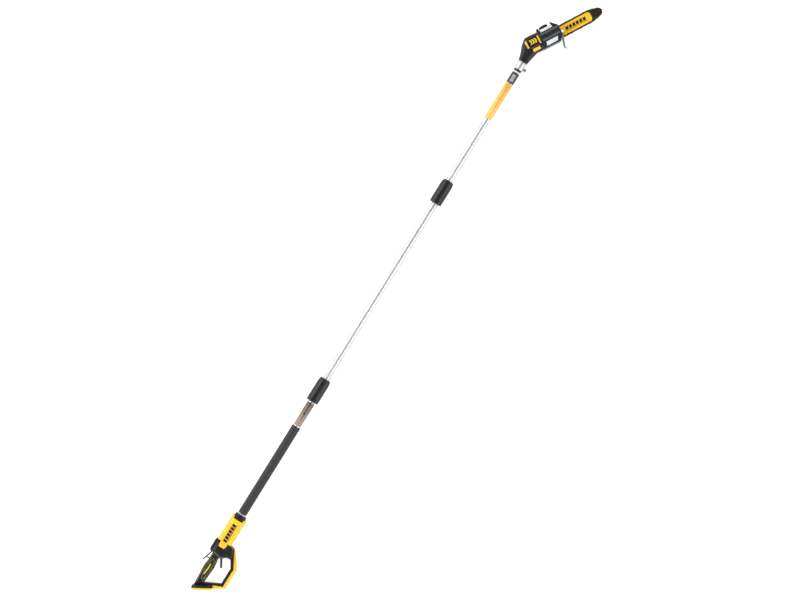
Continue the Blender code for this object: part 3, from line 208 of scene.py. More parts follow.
def printed_wrap(name, node, stops, low, high, band=None, half=0.0, ink=(0.02, 0.02, 0.02),
                 block=(7 * MM, 2.4 * MM), share=0.3, ring=None):
    """Printed film whose colour runs along the pole. band and ring are the shares of its length with plain
    blocks and with one stripe, half is half the width of the blocks' strip, and a block whose tone is darker
    than share is printed."""
    finish = Finish(name, stops[0][1], (low + high) / 2, Coat_Weight=0.25, Coat_Roughness=0.2)
    first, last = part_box(node)
    along = finish.math("DIVIDE", finish.math("SUBTRACT", finish.axis(0), first.x), last.x - first.x)
    base = finish.ramp(along, *stops)
    if band:
        rows = finish.tree.nodes.new("ShaderNodeTexBrick")
        for socket, value in (("Scale", 1.0), ("Mortar Size", 0.9 * MM), ("Mortar Smooth", 0.0),
                              ("Brick Width", block[0]), ("Row Height", block[1]), ("Color1", (0, 0, 0, 1)),
                              ("Color2", (0.6, 0.6, 0.6, 1)), ("Mortar", (1, 1, 1, 1))):
            rows.inputs[socket].default_value = value
        finish.link(finish.place, rows.inputs["Vector"])
        strip = finish.math("LESS_THAN", finish.math("ABSOLUTE", finish.axis(1)), half)
        top = finish.math("GREATER_THAN", finish.axis(2), MIDDLE)
        dark = finish.math("LESS_THAN", rows.outputs["Color"], share)
        printed = finish.math("MULTIPLY", finish.math("MULTIPLY", finish.between(along, band), strip),
                              finish.math("MULTIPLY", dark, top))
        base = finish.mix(printed, base, (*ink, 1.0))
    if ring:
        base = finish.mix(finish.between(along, ring), base, (*ink, 1.0))
    finish.link(base, finish.shader.inputs["Base Color"])
    finish.uneven(low, high, 80)
    finish.bump(finish.noise(160, 2), 0.04 * MM)
    return finish.material


BLACK = moulded("black_moulded", (0.009, 0.009, 0.010), 0.36, 0.52, Specular_IOR_Level=0.35)
BLACK_SOFT = moulded("black_overmould", (0.011, 0.011, 0.012), 0.58, 0.72, 1100, 0.10,
                     Specular_IOR_Level=0.35)
YELLOW = moulded("yellow_moulded", (0.93, 0.53, 0.028), 0.30, 0.42, 620, 0.035, 0.05,
                 Coat_Weight=0.15, Coat_Roughness=0.3)
OLIVE = moulded("olive_moulded", (0.30, 0.26, 0.045), 0.38, 0.50)
LIME = moulded("lime_moulded", (0.72, 0.66, 0.045), 0.32, 0.45)
GREY = moulded("grey_moulded", (0.11, 0.11, 0.115), 0.40, 0.55)
# Mid grey: on the handle's front band and ribs, and as painted highlight on the head, where the cover's
# facets and one line on the black plastic are coloured lighter to stand in for light catching them.
MID_GREY_AND_HIGHLIGHT = moulded("mid_grey_and_painted_highlight", (0.095, 0.096, 0.100), 0.34, 0.46)
TRIGGER = moulded("trigger_moulded", (0.010, 0.010, 0.011), 0.30, 0.42, 900, 0.03)
SLEEVE = moulded("sleeve_moulded", (0.008, 0.008, 0.009), 0.34, 0.50, 800, 0.08)
COVER = moulded("dark_cover_moulded", (0.020, 0.021, 0.024), 0.22, 0.36, 600, 0.03, 0.1,
                Coat_Weight=0.3, Coat_Roughness=0.15)
TANK = moulded("natural_tank", (0.84, 0.84, 0.82), 0.30, 0.42, 300, 0.03, 0.03, Subsurface_Weight=0.2)
BOARD = moulded("board_laminate", (0.02, 0.13, 0.05), 0.35, 0.5)
CABLE = moulded("cable_jacket", (0.015, 0.015, 0.015), 0.45, 0.6)
FOAM = foam()
TUBE = drawn("anodised_tube", (0.60, 0.61, 0.63), 0.30, 0.42, metallic=0.55)
CAST = cast("die_cast", (0.60, 0.61, 0.63), 0.30, 0.42)
HOOK = cast("hook_cast", (0.40, 0.41, 0.43), 0.34, 0.48)
STEEL = drawn("bright_steel", (0.62, 0.62, 0.64), 0.20, 0.34, (400, 400, 400))
DARK_STEEL = drawn("oiled_steel", (0.17, 0.15, 0.14), 0.32, 0.50, (300, 300, 300), 0.02)
CUTTER = drawn("cutter_steel", (0.24, 0.22, 0.21), 0.22, 0.38, (300, 300, 300), 0.02)
BAR_STEEL = drawn("bar_steel", (0.10, 0.075, 0.055), 0.34, 0.48, (30, 600, 600), 0.01, HEAD_TURN)
LAMINATION = drawn("motor_laminations", (0.30, 0.28, 0.26), 0.35, 0.5, (900, 20, 20), 0.05, HEAD_TURN)
WHITE = moulded("white_print", (0.86, 0.86, 0.84), 0.35, 0.45, 400, 0.01, 0.03)
INK = moulded("black_print", (0.010, 0.010, 0.010), 0.35, 0.45, 400, 0.01, 0.03)


def bar_paint():
    """Satin paint with fine scratches along the bar."""
    finish = Finish("bar_paint", (0.93, 0.56, 0.02), 0.3, 0.0, Coat_Weight=0.4, Coat_Roughness=0.12)
    along = finish.turn(HEAD_TURN, (1 / 25, 1 / 1200, 1 / 1200))
    finish.worn(0.05, 40)
    finish.uneven(0.22, 0.36, 1.0, along)
    finish.bump(finish.noise(1.0, 3, along), 0.006 * MM)
    return finish.material


BAR_PAINT = bar_paint()
BRONZE = printed_wrap("bronze_film", "tube_wrap",
                      [(0.0, (0.40, 0.22, 0.10)), (0.14, (0.30, 0.235, 0.175)), (0.55, (0.17, 0.125, 0.085)),
                       (1.0, (0.085, 0.055, 0.032))], 0.28, 0.40)
CAUTION = printed_wrap("yellow_film", "caution_wrap",
                       [(0.0, (0.82, 0.52, 0.12)), (0.5, (0.86, 0.50, 0.085)), (1.0, (0.80, 0.44, 0.06))],
                       0.30, 0.42, band=(0.30, 0.93), half=6.2 * MM, ink=(0.26, 0.11, 0.02), share=0.45)
RATING = printed_wrap("black_film", "rating_wrap",
                      [(0.0, (0.012, 0.012, 0.012)), (1.0, (0.012, 0.012, 0.012))], 0.34, 0.46,
                      band=(0.12, 0.62), half=7.5 * MM, ink=(0.74, 0.74, 0.74),
                      block=(5.5 * MM, 6 * MM), share=0.9, ring=(0.76, 0.86))

FINISHES = {
    "black_plastic": BLACK, "yellow_plastic": YELLOW, "grip_rubber": BLACK_SOFT, "trigger_plastic": TRIGGER,
    "grey_plastic": GREY, "circuit_board": BOARD, "foam": FOAM, "sleeve_rubber": SLEEVE,
    "bronze_wrap": BRONZE, "yellow_wrap": CAUTION, "black_wrap": RATING, "aluminium": TUBE,
    "cast_aluminium": CAST, "bare_steel": STEEL, "chain_steel": DARK_STEEL, "bar_yellow": BAR_STEEL,
    "dark_cover": COVER, "tank_plastic": TANK, "motor_steel": LAMINATION, "cable_rubber": CABLE,
}
SLOT_OF = {row["node"]: row["material_slot"] for row in frame["record"]["subparts"]}
BODY_OF = {node: body for body, nodes in frame["record"]["behaviour"]["bodies"].items() for node in nodes}
for node, part in frame["nodes"].items():
    part.data.materials.clear()
    part.data.materials.append(FINISHES[SLOT_OF[node]])


# ---------------------------------------------------------------- modelling
def start(adding, **settings):
    bpy.ops.object.select_all(action="DESELECT")
    adding(**settings)
    return bpy.context.object


def only(piece):
    bpy.ops.object.select_all(action="DESELECT")
    piece.select_set(True)
    bpy.context.view_layer.objects.active = piece


def edit(piece):
    only(piece)
    bpy.ops.object.mode_set(mode="EDIT")
    bpy.ops.mesh.select_all(action="SELECT")


def done():
    bpy.ops.object.mode_set(mode="OBJECT")


def outward(piece, merge=0.0005 * MM):
    edit(piece)
    bpy.ops.mesh.remove_doubles(threshold=merge)
    bpy.ops.mesh.normals_make_consistent(inside=False)
    done()


def modified(piece, kind, **settings):
    modifier = piece.modifiers.new(kind.lower(), kind)
    for key, value in settings.items():
        setattr(modifier, key, value)
    only(piece)
    bpy.ops.object.modifier_apply(modifier=modifier.name)


def placed(piece, place):
    """The piece's place goes into its mesh."""
    piece.matrix_world = place @ piece.matrix_world
    only(piece)
    bpy.ops.object.transform_apply(location=True, rotation=True, scale=True)


def smooth(piece, degrees=35):
    only(piece)
    bpy.ops.object.shade_smooth_by_angle(angle=math.radians(degrees))


def ready(piece, name, material, body, replaced=()):
    piece.name = piece.data.name = name
    piece.data.materials.clear()
    piece.data.materials.append(material)
    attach(piece, body)
    if replaced:
        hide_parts(*replaced)
    return piece


def lathe(profile, sides=72, closed=False, shape=None):
    """Rings of (along, radius) joined in order along z; closed joins the last to the first, otherwise both
    ends are filled. shape gives a share of the radius for an angle and a radius."""
    along, radius = profile[0]
    piece = start(bpy.ops.mesh.primitive_circle_add, vertices=sides, radius=radius, location=(0, 0, 0))
    edit(piece)
    bpy.ops.transform.translate(value=(0, 0, along))
    for (x0, r0), (x1, r1) in zip(profile, profile[1:] + (profile[:1] if closed else [])):
        bpy.ops.mesh.extrude_region_move(TRANSFORM_OT_translate={"value": (0, 0, x1 - x0)})
        bpy.ops.transform.resize(value=(r1 / r0, r1 / r0, 1), center_override=(0, 0, x1))
    if not closed:
        bpy.ops.mesh.select_all(action="SELECT")
        bpy.ops.mesh.fill_holes(sides=sides)
    done()
    outward(piece)
    if shape:
        for point in piece.data.vertices:
            share = shape(math.atan2(point.co.y, point.co.x), math.hypot(point.co.x, point.co.y))
            point.co.x *= share
            point.co.y *= share
    return piece


def in_mm(*points):
    return [tuple(value * MM for value in point) for point in points]


def oblong(x0, x1, y0, y1):
    """Corners of a rectangle given in millimetres."""
    return in_mm((x0, y0), (x1, y0), (x1, y1), (x0, y1))


BROKEN_EDGE = math.radians(30)  # edges sharper than this are eased


def plate(outline, low, high, ease=0.0, segments=2):
    """The outline as a plate between two heights, with its edges eased."""
    piece = start(bpy.ops.mesh.primitive_circle_add, vertices=len(outline), radius=1, fill_type="NGON")
    for point, (x, y) in zip(piece.data.vertices, outline):
        point.co = (x, y, low)
    edit(piece)
    bpy.ops.mesh.extrude_region_move(TRANSFORM_OT_translate={"value": (0, 0, high - low)})
    done()
    outward(piece)
    if ease:
        modified(piece, "BEVEL", width=ease, segments=segments, limit_method="ANGLE", angle_limit=BROKEN_EDGE)
    return piece


def skin(rings, closed=False):
    """Rings of points joined in order; ends are filled, or the last ring meets the first."""
    count = len(rings[0])
    piece = start(bpy.ops.mesh.primitive_circle_add, vertices=count, radius=1)
    edit(piece)
    for _ in rings[1:]:
        bpy.ops.mesh.extrude_region_move(TRANSFORM_OT_translate={"value": (0, 0, 1)})
    done()
    for point, place in zip(piece.data.vertices, [place for ring in rings for place in ring]):
        point.co = place
    edit(piece)
    if closed:
        bpy.ops.mesh.select_all(action="DESELECT")
        bpy.ops.mesh.select_non_manifold()
        bpy.ops.mesh.bridge_edge_loops()
    else:
        bpy.ops.mesh.fill_holes(sides=count)
    done()
    outward(piece)
    return piece


def merged(*pieces):
    bpy.ops.object.select_all(action="DESELECT")
    for piece in pieces:
        piece.select_set(True)
    bpy.context.view_layer.objects.active = pieces[0]
    if len(pieces) > 1:
        bpy.ops.object.join()
    return pieces[0]


def copied(piece, place):
    twin = bpy.data.objects.new(piece.name, piece.data.copy())
    bpy.context.collection.objects.link(twin)
    placed(twin, place)
    return twin


def carve(piece, tool):
    modified(piece, "BOOLEAN", object=tool, operation="DIFFERENCE", solver="EXACT")
    bpy.data.objects.remove(tool)


def eased(node, width, material=None):
    """A CAD node's shape with its edges broken and its round sides shaded round."""
    source = frame["nodes"][node]
    piece = bpy.data.objects.new(node, source.data.copy())
    bpy.context.collection.objects.link(piece)
    edit(piece)
    bpy.ops.mesh.customdata_custom_splitnormals_clear()
    bpy.ops.mesh.remove_doubles(threshold=0.001 * MM)
    bpy.ops.mesh.dissolve_limited(angle_limit=math.radians(1.0))
    done()
    if width:
        modified(piece, "BEVEL", width=width, segments=2, limit_method="ANGLE", angle_limit=BROKEN_EDGE,
                 harden_normals=False)
    low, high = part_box(node)
    for point in piece.data.vertices:
        point.co = [min(max(value, least), most) for value, least, most in zip(point.co, low, high)]
    smooth(piece, 30)
    slot = SLOT_OF[node]
    return ready(piece, node + "_finished", material or FINISHES[slot], BODY_OF[node], (node,))


# ---------------------------------------------------------------- pole
TUBE_RADIUS = 17 * MM
TUBE_BORE = 15.5 * MM
OVER_TUBE = 17.3 * MM  # bore of what fits over a tube
FOAM_RADIUS = 20 * MM
FILM_RADIUS = 17.8 * MM
ROUND_SIDES = 96


def ring_profile(low, high, inner, outer, ease):
    """A ring's section between two places along the pole, with both outer edges eased."""
    corner = ease * 0.3
    return [(low, inner), (low, outer - ease), (low + corner, outer - corner), (low + ease, outer),
            (high - ease, outer), (high - corner, outer - corner), (high, outer - ease), (high, inner)]


def sleeve_on_pole(node, name, outer, inner, material, ease=0.3 * MM):
    low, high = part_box(node)
    piece = lathe(ring_profile(low.x, high.x, inner, outer, ease), ROUND_SIDES, True)
    placed(piece, ON_POLE)
    smooth(piece)
    return ready(piece, name, material, BODY_OF[node], (node,))


for node in ("lower_tube", "middle_tube", "upper_tube"):
    sleeve_on_pole(node, node + "_finished", TUBE_RADIUS, TUBE_BORE, TUBE)
foam_grip = sleeve_on_pole("foam_grip", "foam_sleeve", FOAM_RADIUS, OVER_TUBE, FOAM, 2 * MM)
for node, name, material in (("tube_wrap", "bronze_label", BRONZE), ("caution_wrap", "yellow_label", CAUTION),
                             ("rating_wrap", "black_label", RATING)):
    sleeve_on_pole(node, name, FILM_RADIUS, OVER_TUBE, material, 0.1 * MM)


def facet(angle, radius):
    """Eight broad flats with rounded corners between them."""
    step = math.pi / 4
    off = (angle + step / 2) % step - step / 2
    return min(1.0, 0.955 / math.cos(off)) if radius > 24 * MM else 1.0


def coupler(index):
    """A screw sleeve: open at its wide end, and domed down to the tube at the other."""
    node = f"coupler_sleeve_{index}"
    low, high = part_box(node)
    x0, x1 = low.x, high.x
    inner, outer, socket_bore = 17.4 * MM, 29 * MM, 22.8 * MM
    dome_length, dome_end, neck_length = 26 * MM, 21.3 * MM, 30 * MM
    dome = []
    for step in range(9):
        angle = step * math.pi / 16
        dome.append((x1 - dome_length + dome_length * math.sin(angle),
                     dome_end + (outer - dome_end) * math.cos(angle)))
    profile = [(x0, socket_bore), (x0, outer - 2.5 * MM), (x0 + 0.8 * MM, outer - 0.8 * MM),
               (x0 + 2.5 * MM, outer), (x0 + 9 * MM, outer), (x0 + 10 * MM, outer - 1 * MM),
               (x0 + 12 * MM, outer - 1 * MM), (x0 + 13 * MM, outer), *dome, (x1, inner),
               (x1 - neck_length, inner), (x1 - neck_length, socket_bore)]
    piece = lathe(profile, 128, True, facet)
    placed(piece, ON_POLE)
    smooth(piece, 25)
    ready(piece, f"coupler_finished_{index}", SLEEVE, BODY_OF[node], (node,))


coupler(1)
coupler(2)


def pole_ring(name, x, length, radius, material):
    """A stripe round the upper tube, in front of its black film."""
    profile = ring_profile(x * MM, (x + length) * MM, TUBE_RADIUS + 0.05 * MM, radius * MM, 0.15 * MM)
    piece = lathe(profile, ROUND_SIDES, True)
    placed(piece, TOOL @ ALONG_X)
    smooth(piece)
    ready(piece, name, material, "head_section")


pole_ring("white_stripe", 2286.2, 5.6, 17.5, WHITE)
pole_ring("end_stripe", 2292, 8.6, 17.6, INK)

for node, width in (("tube_rivet", 0.4), ("socket_1", 0), ("socket_2", 0), ("plug_1", 0), ("plug_2", 0)):
    eased(node, width * MM)


# ---------------------------------------------------------------- shared shapes
RIGHT, LEFT = 1, -1  # signs of a side along z


def side_name(name, side):
    return f"{name}_{'right' if side == RIGHT else 'left'}"


def strip_outline(points, width):
    """A band along a line of points, of one width or of one for each point."""
    widths = width if isinstance(width, list) else [width] * len(points)
    left, right = [], []
    for index, point in enumerate(points):
        before = Vector(points[max(index - 1, 0)])
        after = Vector(points[min(index + 1, len(points) - 1)])
        across = (after - before).normalized().orthogonal() * widths[index] / 2
        left.append(tuple(Vector(point) + across))
        right.append(tuple(Vector(point) - across))
    return left + right[::-1]


def rounded(outline, radius, steps=4):
    """The outline with its corners turned into arcs."""
    points, count = [], len(outline)
    for index, corner in enumerate(outline):
        here = Vector(corner)
        before = Vector(outline[index - 1]) - here
        after = Vector(outline[(index + 1) % count]) - here
        reach = min(radius, before.length * 0.45, after.length * 0.45)
        first, last = here + before.normalized() * reach, here + after.normalized() * reach
        for step in range(steps + 1):
            share = step / steps
            spot = first * (1 - share) ** 2 + here * 2 * share * (1 - share) + last * share ** 2
            points.append(tuple(spot))
    return points


def slab(name, outline, depth, side, place, material, body, ease=0.4 * MM, replaced=()):
    """A plate between two distances from the middle plane, on one side of it."""
    low, high = sorted((side * depth[0] * MM, side * depth[1] * MM))
    piece = placed_piece(plate(outline, low, high, ease), place)
    return ready(piece, side_name(name, side), material, body, replaced)


def placed_piece(piece, place, degrees=35):
    placed(piece, place)
    smooth(piece, degrees)
    return piece


def patch(name, corners, target, side, place, material, body, cells):
    """A thin inlay with four corners, laid over the skin of another piece and a little proud of it."""
    lift, sunk = 0.35 * MM, 0.5 * MM
    piece = start(bpy.ops.mesh.primitive_grid_add, x_subdivisions=cells[0], y_subdivisions=cells[1], size=2)
    first, second, third, fourth = (Vector((x, y)) for x, y in corners)
    for point in piece.data.vertices:
        u, v = (point.co.x + 1) / 2, (point.co.y + 1) / 2
        spot = (first * (1 - u) + second * u) * (1 - v) + (fourth * (1 - u) + third * u) * v
        point.co = (spot.x, spot.y, side * 60 * MM)
    placed(piece, place)
    modified(piece, "SHRINKWRAP", target=target, wrap_method="PROJECT", use_project_x=False,
             use_project_y=False, use_project_z=True, use_negative_direction=side == RIGHT,
             use_positive_direction=side == LEFT)
    for point in piece.data.vertices:
        point.co.z += side * lift
    edit(piece)
    bpy.ops.mesh.extrude_region_move(TRANSFORM_OT_translate={"value": (0, 0, -side * (lift + sunk))})
    done()
    outward(piece)
    smooth(piece)
    return ready(piece, side_name(name, side), material, body)


def superellipse(height, width, power, count, seam=0.0):
    """Points (across, up) round a squarish oval; seam cuts a narrow groove along the middle plane."""
    points = []
    angles = [2 * math.pi * step / count for step in range(count)]
    if seam:
        half = 0.014
        angles = [half, half * 2, *angles[1:count // 2], math.pi - 2 * half, math.pi - half, math.pi + half,
                  math.pi + 2 * half, *angles[count // 2 + 1:], -2 * half, -half]
    for angle in angles:
        c, s = math.cos(angle), math.sin(angle)
        share = 1.0
        if seam and abs(s) < 0.02:
            share = 1.0 - seam / height
        points.append((share * height * math.copysign(abs(c) ** (2 / power), c),
                       width * math.copysign(abs(s) ** (2 / power), s)))
    return points


def eased_curve(values, share):
    """A smooth curve through evenly spaced values, at a share of the way."""
    spot = share * (len(values) - 1)
    index = min(int(spot), len(values) - 2)
    t = spot - index
    before, here = values[max(index - 1, 0)], values[index]
    after, beyond = values[index + 1], values[min(index + 2, len(values) - 1)]
    return 0.5 * (2 * here + (after - before) * t + (2 * before - 5 * here + 4 * after - beyond) * t * t
                  + (3 * here - before - 3 * after + beyond) * t ** 3)


def screw_head(name, x, y, depth, place, body):
    """A pan head with a round recess, on the left side."""
    radius = 3.4 * MM
    head = lathe([(0.0, radius), (1.0 * MM, radius), (1.9 * MM, radius * 0.72), (2.0 * MM, radius * 0.46),
                  (0.9 * MM, radius * 0.44)], 24)
    for point in head.data.vertices:
        point.co.z *= LEFT
    placed(head, place @ Matrix.Translation((x * MM, y * MM, LEFT * depth * MM)))
    outward(head)
    smooth(head)
    return ready(head, name, STEEL, body)


# ---------------------------------------------------------------- handle
for node, width in (("housing_right", 1.2), ("housing_left", 1.2), ("battery_foot", 1.2), ("rail_plate", 1.2),
                    ("terminal_block", 0.5), ("loop_guard", 3.0), ("nose_collar", 1.0), ("trigger", 1.5),
                    ("lock_off_lever", 1.0)):
    eased(node, width * MM)


BARREL_BACK, BARREL_FRONT, BARREL_CUT = -136 * MM, -9 * MM, 14 * MM
BARREL_BORE = 29.4 * MM


def barrel_cover():
    """The yellow cover: a squarish barrel, waved along its top and bottom, cut back at the front on both flat
    sides so that the nose shows."""
    steps, count = 66, 72
    outer, inner = [], []
    for step in range(steps + 1):
        share = step / steps
        wave = 35.6 * MM + 1.6 * MM * math.cos(2 * math.pi * 3.75 * share)
        front_ease = max(0.0, 1 - (1 - share) / 0.10) ** 2
        back_ease = 1.6 * MM * max(0.0, 1 - share / 0.02) ** 2
        height = (wave if share < 0.9 else 35.2 * MM) - 3.5 * MM * front_ease - back_ease
        width = 37.5 * MM - back_ease - 3.0 * MM * front_ease
        rings = [], []
        for y, z in superellipse(height, width, 3.4, count):
            flat = abs(z) / width
            front = BARREL_FRONT - BARREL_CUT * max(0.0, min(1.0, (flat - 0.62) / 0.22))
            x = BARREL_BACK + (front - BARREL_BACK) * share
            rings[0].append((x, y, z))
            angle = math.atan2(z, y)
            rings[1].append((x, BARREL_BORE * math.cos(angle), BARREL_BORE * math.sin(angle)))
        outer.append(rings[0])
        inner.append(rings[1])
    piece = skin(outer + inner[::-1], True)
    placed_piece(piece, TOOL, 40)
    return ready(piece, "barrel_shell", YELLOW, "handle",
                 ("barrel_cover_right", "barrel_cover_left"))


def barrel_mark(barrel):
    """A plain row of slanted blocks over a thin rule, printed on both flat sides."""
    count, x0, x1, half = 6, -134, -42, 10
    step = (x1 - x0) / count
    lean = 0.18 * step
    for side in (RIGHT, LEFT):
        for index in range(count):
            left = x0 + index * step
            right = left + step * 0.80
            corners = in_mm((left, -half * 0.62), (right, -half * 0.62), (right + lean, half),
                            (left + lean, half))
            patch(f"barrel_mark_block_{index}", corners, barrel, side, TOOL, INK, "handle",
                  (6, 4))
        patch("barrel_mark_rule", oblong(x0, x1, -half, -half * 0.8), barrel, side, TOOL, INK, "handle",
              (20, 2))


barrel_mark(barrel_cover())
TONGUE = rounded(in_mm((-161, -13), (-150, -17), (-128, -17), (-128, 17), (-150, 17), (-161, 13)), 3 * MM)
GRIP_TOP = in_mm((-345, 14), (-318, 16.5), (-296, 18.5), (-270, 20.5), (-243, 17), (-218, 15.8), (-203, 16))
GRIP_LOW = in_mm((-336, -8), (-318, -10), (-290, -13.6), (-258, -16.6), (-232, -13), (-214, -10), (-203, -10))
PAD_RING = in_mm((-323, -1), (-321, 3), (-312, 7.5), (-270, 12.5), (-236, 9), (-224, 4), (-222, 0),
                 (-225, -3), (-234, -7), (-258, -10), (-312, -7), (-321, -4), (-323, -1))
PAD = rounded(in_mm((-329, -8.2), (-329, 8.2), (-270, 15), (-228, 10.2), (-213, 7.4), (-213, -6.4),
                    (-258, -12.2)), 4 * MM)
LIME_BAR = rounded(in_mm((-305, 3), (-296, 5.5), (-270, 3.4), (-248, 2.5), (-246, -1.0), (-262, -2.0),
                         (-292, 0.2)), 2 * MM)
RIB_BAND = in_mm((-193, 17), (-196.5, 4), (-201.5, -14), (-199, -26), (-187, -41), (-181, -57))


FOOT_CORNER = Vector((-387 * MM, 14 * MM))
FOOT_DOWN = Vector((math.cos(math.radians(60)), -math.sin(math.radians(60))))  # along the battery foot
FOOT_DEEP = Vector((math.sin(math.radians(60)), math.cos(math.radians(60))))  # towards the grip


def on_handle(name, outline, depth, side, material, ease=0.4 * MM, replaced=()):
    slab(name, outline, depth, side, TOOL, material, "handle", ease, replaced)


def handle_trim(side):
    """Bands, ribs and soft pad on one side of the handle."""
    on_handle("barrel_tongue", TONGUE, (26, 37.5), side, YELLOW, 1.2 * MM)
    on_handle("grip_line_top", strip_outline(GRIP_TOP, 1.8 * MM), (14, 17.45), side, OLIVE)
    on_handle("grip_line_low", strip_outline(GRIP_LOW, 1.5 * MM), (14, 17.45), side, OLIVE)
    on_handle("pad", PAD, (14.9, 17.9), side, BLACK_SOFT, 0.9 * MM,
              (side_name("grip_pad", side),))
    on_handle("grip_ring", strip_outline(PAD_RING, 1.4 * MM), (16, 18.4), side, OLIVE)
    on_handle("grip_bar", LIME_BAR, (16, 18.8), side, LIME, 0.6 * MM)
    on_handle("front_band", strip_outline(RIB_BAND, 4.5 * MM), (28, 35.9), side, MID_GREY_AND_HIGHLIGHT,
              0.8 * MM)
    for index in range(3):
        y = 26 - 4.5 * index
        line = in_mm((-186, y), (-170, y + 1.5), (-146, y + 1.5))
        on_handle(f"front_rib_{index}", strip_outline(line, 1.6 * MM), (30, 35.8), side, MID_GREY_AND_HIGHLIGHT)
    for index in range(6):
        x = -300 + 13 * index
        y = -8.5 - (0.075 * (x + 300) if x < -258 else 0)
        on_handle(f"pad_rib_{index}", strip_outline(in_mm((x, y), (x + 6, y)), 1.2 * MM), (17, 18.6), side,
                  BLACK_SOFT, 0.3 * MM)
    for index in range(7):
        spot = FOOT_CORNER + FOOT_DOWN * (22 + 7 * index) * MM
        line = [tuple(spot + FOOT_DEEP * 11 * MM), tuple(spot + FOOT_DEEP * 18 * MM)]
        on_handle(f"foot_rib_{index}", strip_outline(line, 2 * MM), (30, 37.8), side, BLACK,
                  0.5 * MM)


handle_trim(RIGHT)
handle_trim(LEFT)
HANDLE_SCREWS = ((-150, 34, 33.6), (-150, -40, 33.6), (-186, 26, 33.6), (-218, -90, 13.2), (-318, 4, 15.5))
for index, (x, y, depth) in enumerate(HANDLE_SCREWS):
    screw_head(f"handle_screw_{index}", x, y, depth, TOOL, "handle")

# ---------------------------------------------------------------- saw head
for node, width in (("front_cover", 0.8), ("gear_case", 0.8), ("sprocket_cover", 1.0), ("clamp_casting", 0.8),
                    ("oil_tank", 0.8), ("clamp_bolt", 0.5), ("bar_knob", 0.8)):
    eased(node, width * MM)

HOOK_LINE = in_mm((141, -2), (141.5, -14), (137, -29), (131, -46), (126.4, -60), (125.4, -69), (127.6, -75.5),
                  (133, -77.6))
HOOK_WIDTHS = [width * MM for width in (6.5, 8.5, 10, 9.5, 9, 8, 6, 2.5)]


def branch_hook():
    """The hook at the saw's foot, a cast blade that curls forwards at its tip."""
    piece = plate(strip_outline(HOOK_LINE, HOOK_WIDTHS), -8 * MM, -4 * MM, 1.2 * MM, 3)
    placed_piece(piece, HEAD)
    ready(piece, "hook_finished", HOOK, "head_section", ("branch_hook",))


branch_hook()


def in_head(along, across):
    """A point given from the bend along the pole, in the head's frame, in millimetres."""
    c, s = math.cos(-HEAD_TURN), math.sin(-HEAD_TURN)
    return (along * c - across * s, along * s + across * c)


def motor_shell():
    """Neck and motor housing, one smooth casing with its parting groove."""
    stations = [
        (in_head(-81.5, 21.5), in_head(-81.5, -21.5), 21.5),
        (in_head(-66, 25.5), in_head(-68, -23), 24.5),
        (in_head(-50, 30.5), in_head(-54, -25.5), 28.5),
        (in_head(-34, 37), in_head(-41, -28), 32),
        (in_head(-18, 43.5), in_head(-28, -31), 34.5),
        ((-17.5, 46.1), (9, -35.5), 37),
        ((-12, 47.7), (15, -36.5), 37.3),
        ((4, 47.2), (22, -36.8), 37.3),
        ((20, 46.5), (28, -37), 37.3),
        ((32, 45.5), (35, -37.6), 37.3),
        ((41, 44.5), (41, -38), 36.9),
    ]
    rings, steps = [], 60
    for step in range(steps + 1):
        share = step / steps
        top = Vector([eased_curve([row[0][axis] for row in stations], share) for axis in (0, 1)])
        low = Vector([eased_curve([row[1][axis] for row in stations], share) for axis in (0, 1)])
        width = eased_curve([row[2] for row in stations], share)
        middle, arm = (top + low) / 2, (top - low) / 2
        ring = []
        for across, up in superellipse(1.0, width, 3.4, 56, seam=0.012):
            spot = middle + arm * across
            ring.append((spot.x * MM, spot.y * MM, up * MM))
        rings.append(ring)
    piece = skin(rings)
    placed_piece(piece, HEAD, 40)
    return ready(piece, "motor_shell", BLACK, "head_section",
                 ("motor_housing_right", "motor_housing_left"))


shell = motor_shell()
ACCENTS_AND_HIGHLIGHT = (  # name, rectangle, finish, slot, faces along and across
    ("accent_rear", (-26, -18, -3, 31), YELLOW, "yellow_plastic", (4, 12)),
    ("accent_front", (32.5, 39.5, -6, 31), YELLOW, "yellow_plastic", (4, 12)),
    ("accent_low", (-8, 26, -27, -14), YELLOW, "yellow_plastic", (12, 6)),
    # painted highlight: a mid-grey line on black plastic, standing in for light along a ridge
    ("painted_highlight_line", (-12, 28, -9, -6), MID_GREY_AND_HIGHLIGHT, "black_plastic", (12, 2)),
)


def emblem(side):
    """Three plain chevrons, each of two halves."""
    low, middle, high = 5, 16, 27
    for index in range(3):
        left = -7 + 11 * index
        halves = (((left, low), (left + 7, low), (left + 12, middle), (left + 5, middle)),
                  ((left + 5, middle), (left + 12, middle), (left + 7, high), (left, high)))
        for half, corners in enumerate(halves):
            patch(f"emblem_{index}_{half}", in_mm(*corners), shell, side, HEAD,
                  LIME if index == 1 else YELLOW, "head_section", (6, 8))


for side in (RIGHT, LEFT):
    for name, limits, material, slot, cells in ACCENTS_AND_HIGHLIGHT:
        patch(name, oblong(*limits), shell, side, HEAD, material, "head_section", cells)
    emblem(side)


def on_head(name, outline, depth, side, material, ease):
    slab(name, outline, depth, side, HEAD, material, "head_section", ease)


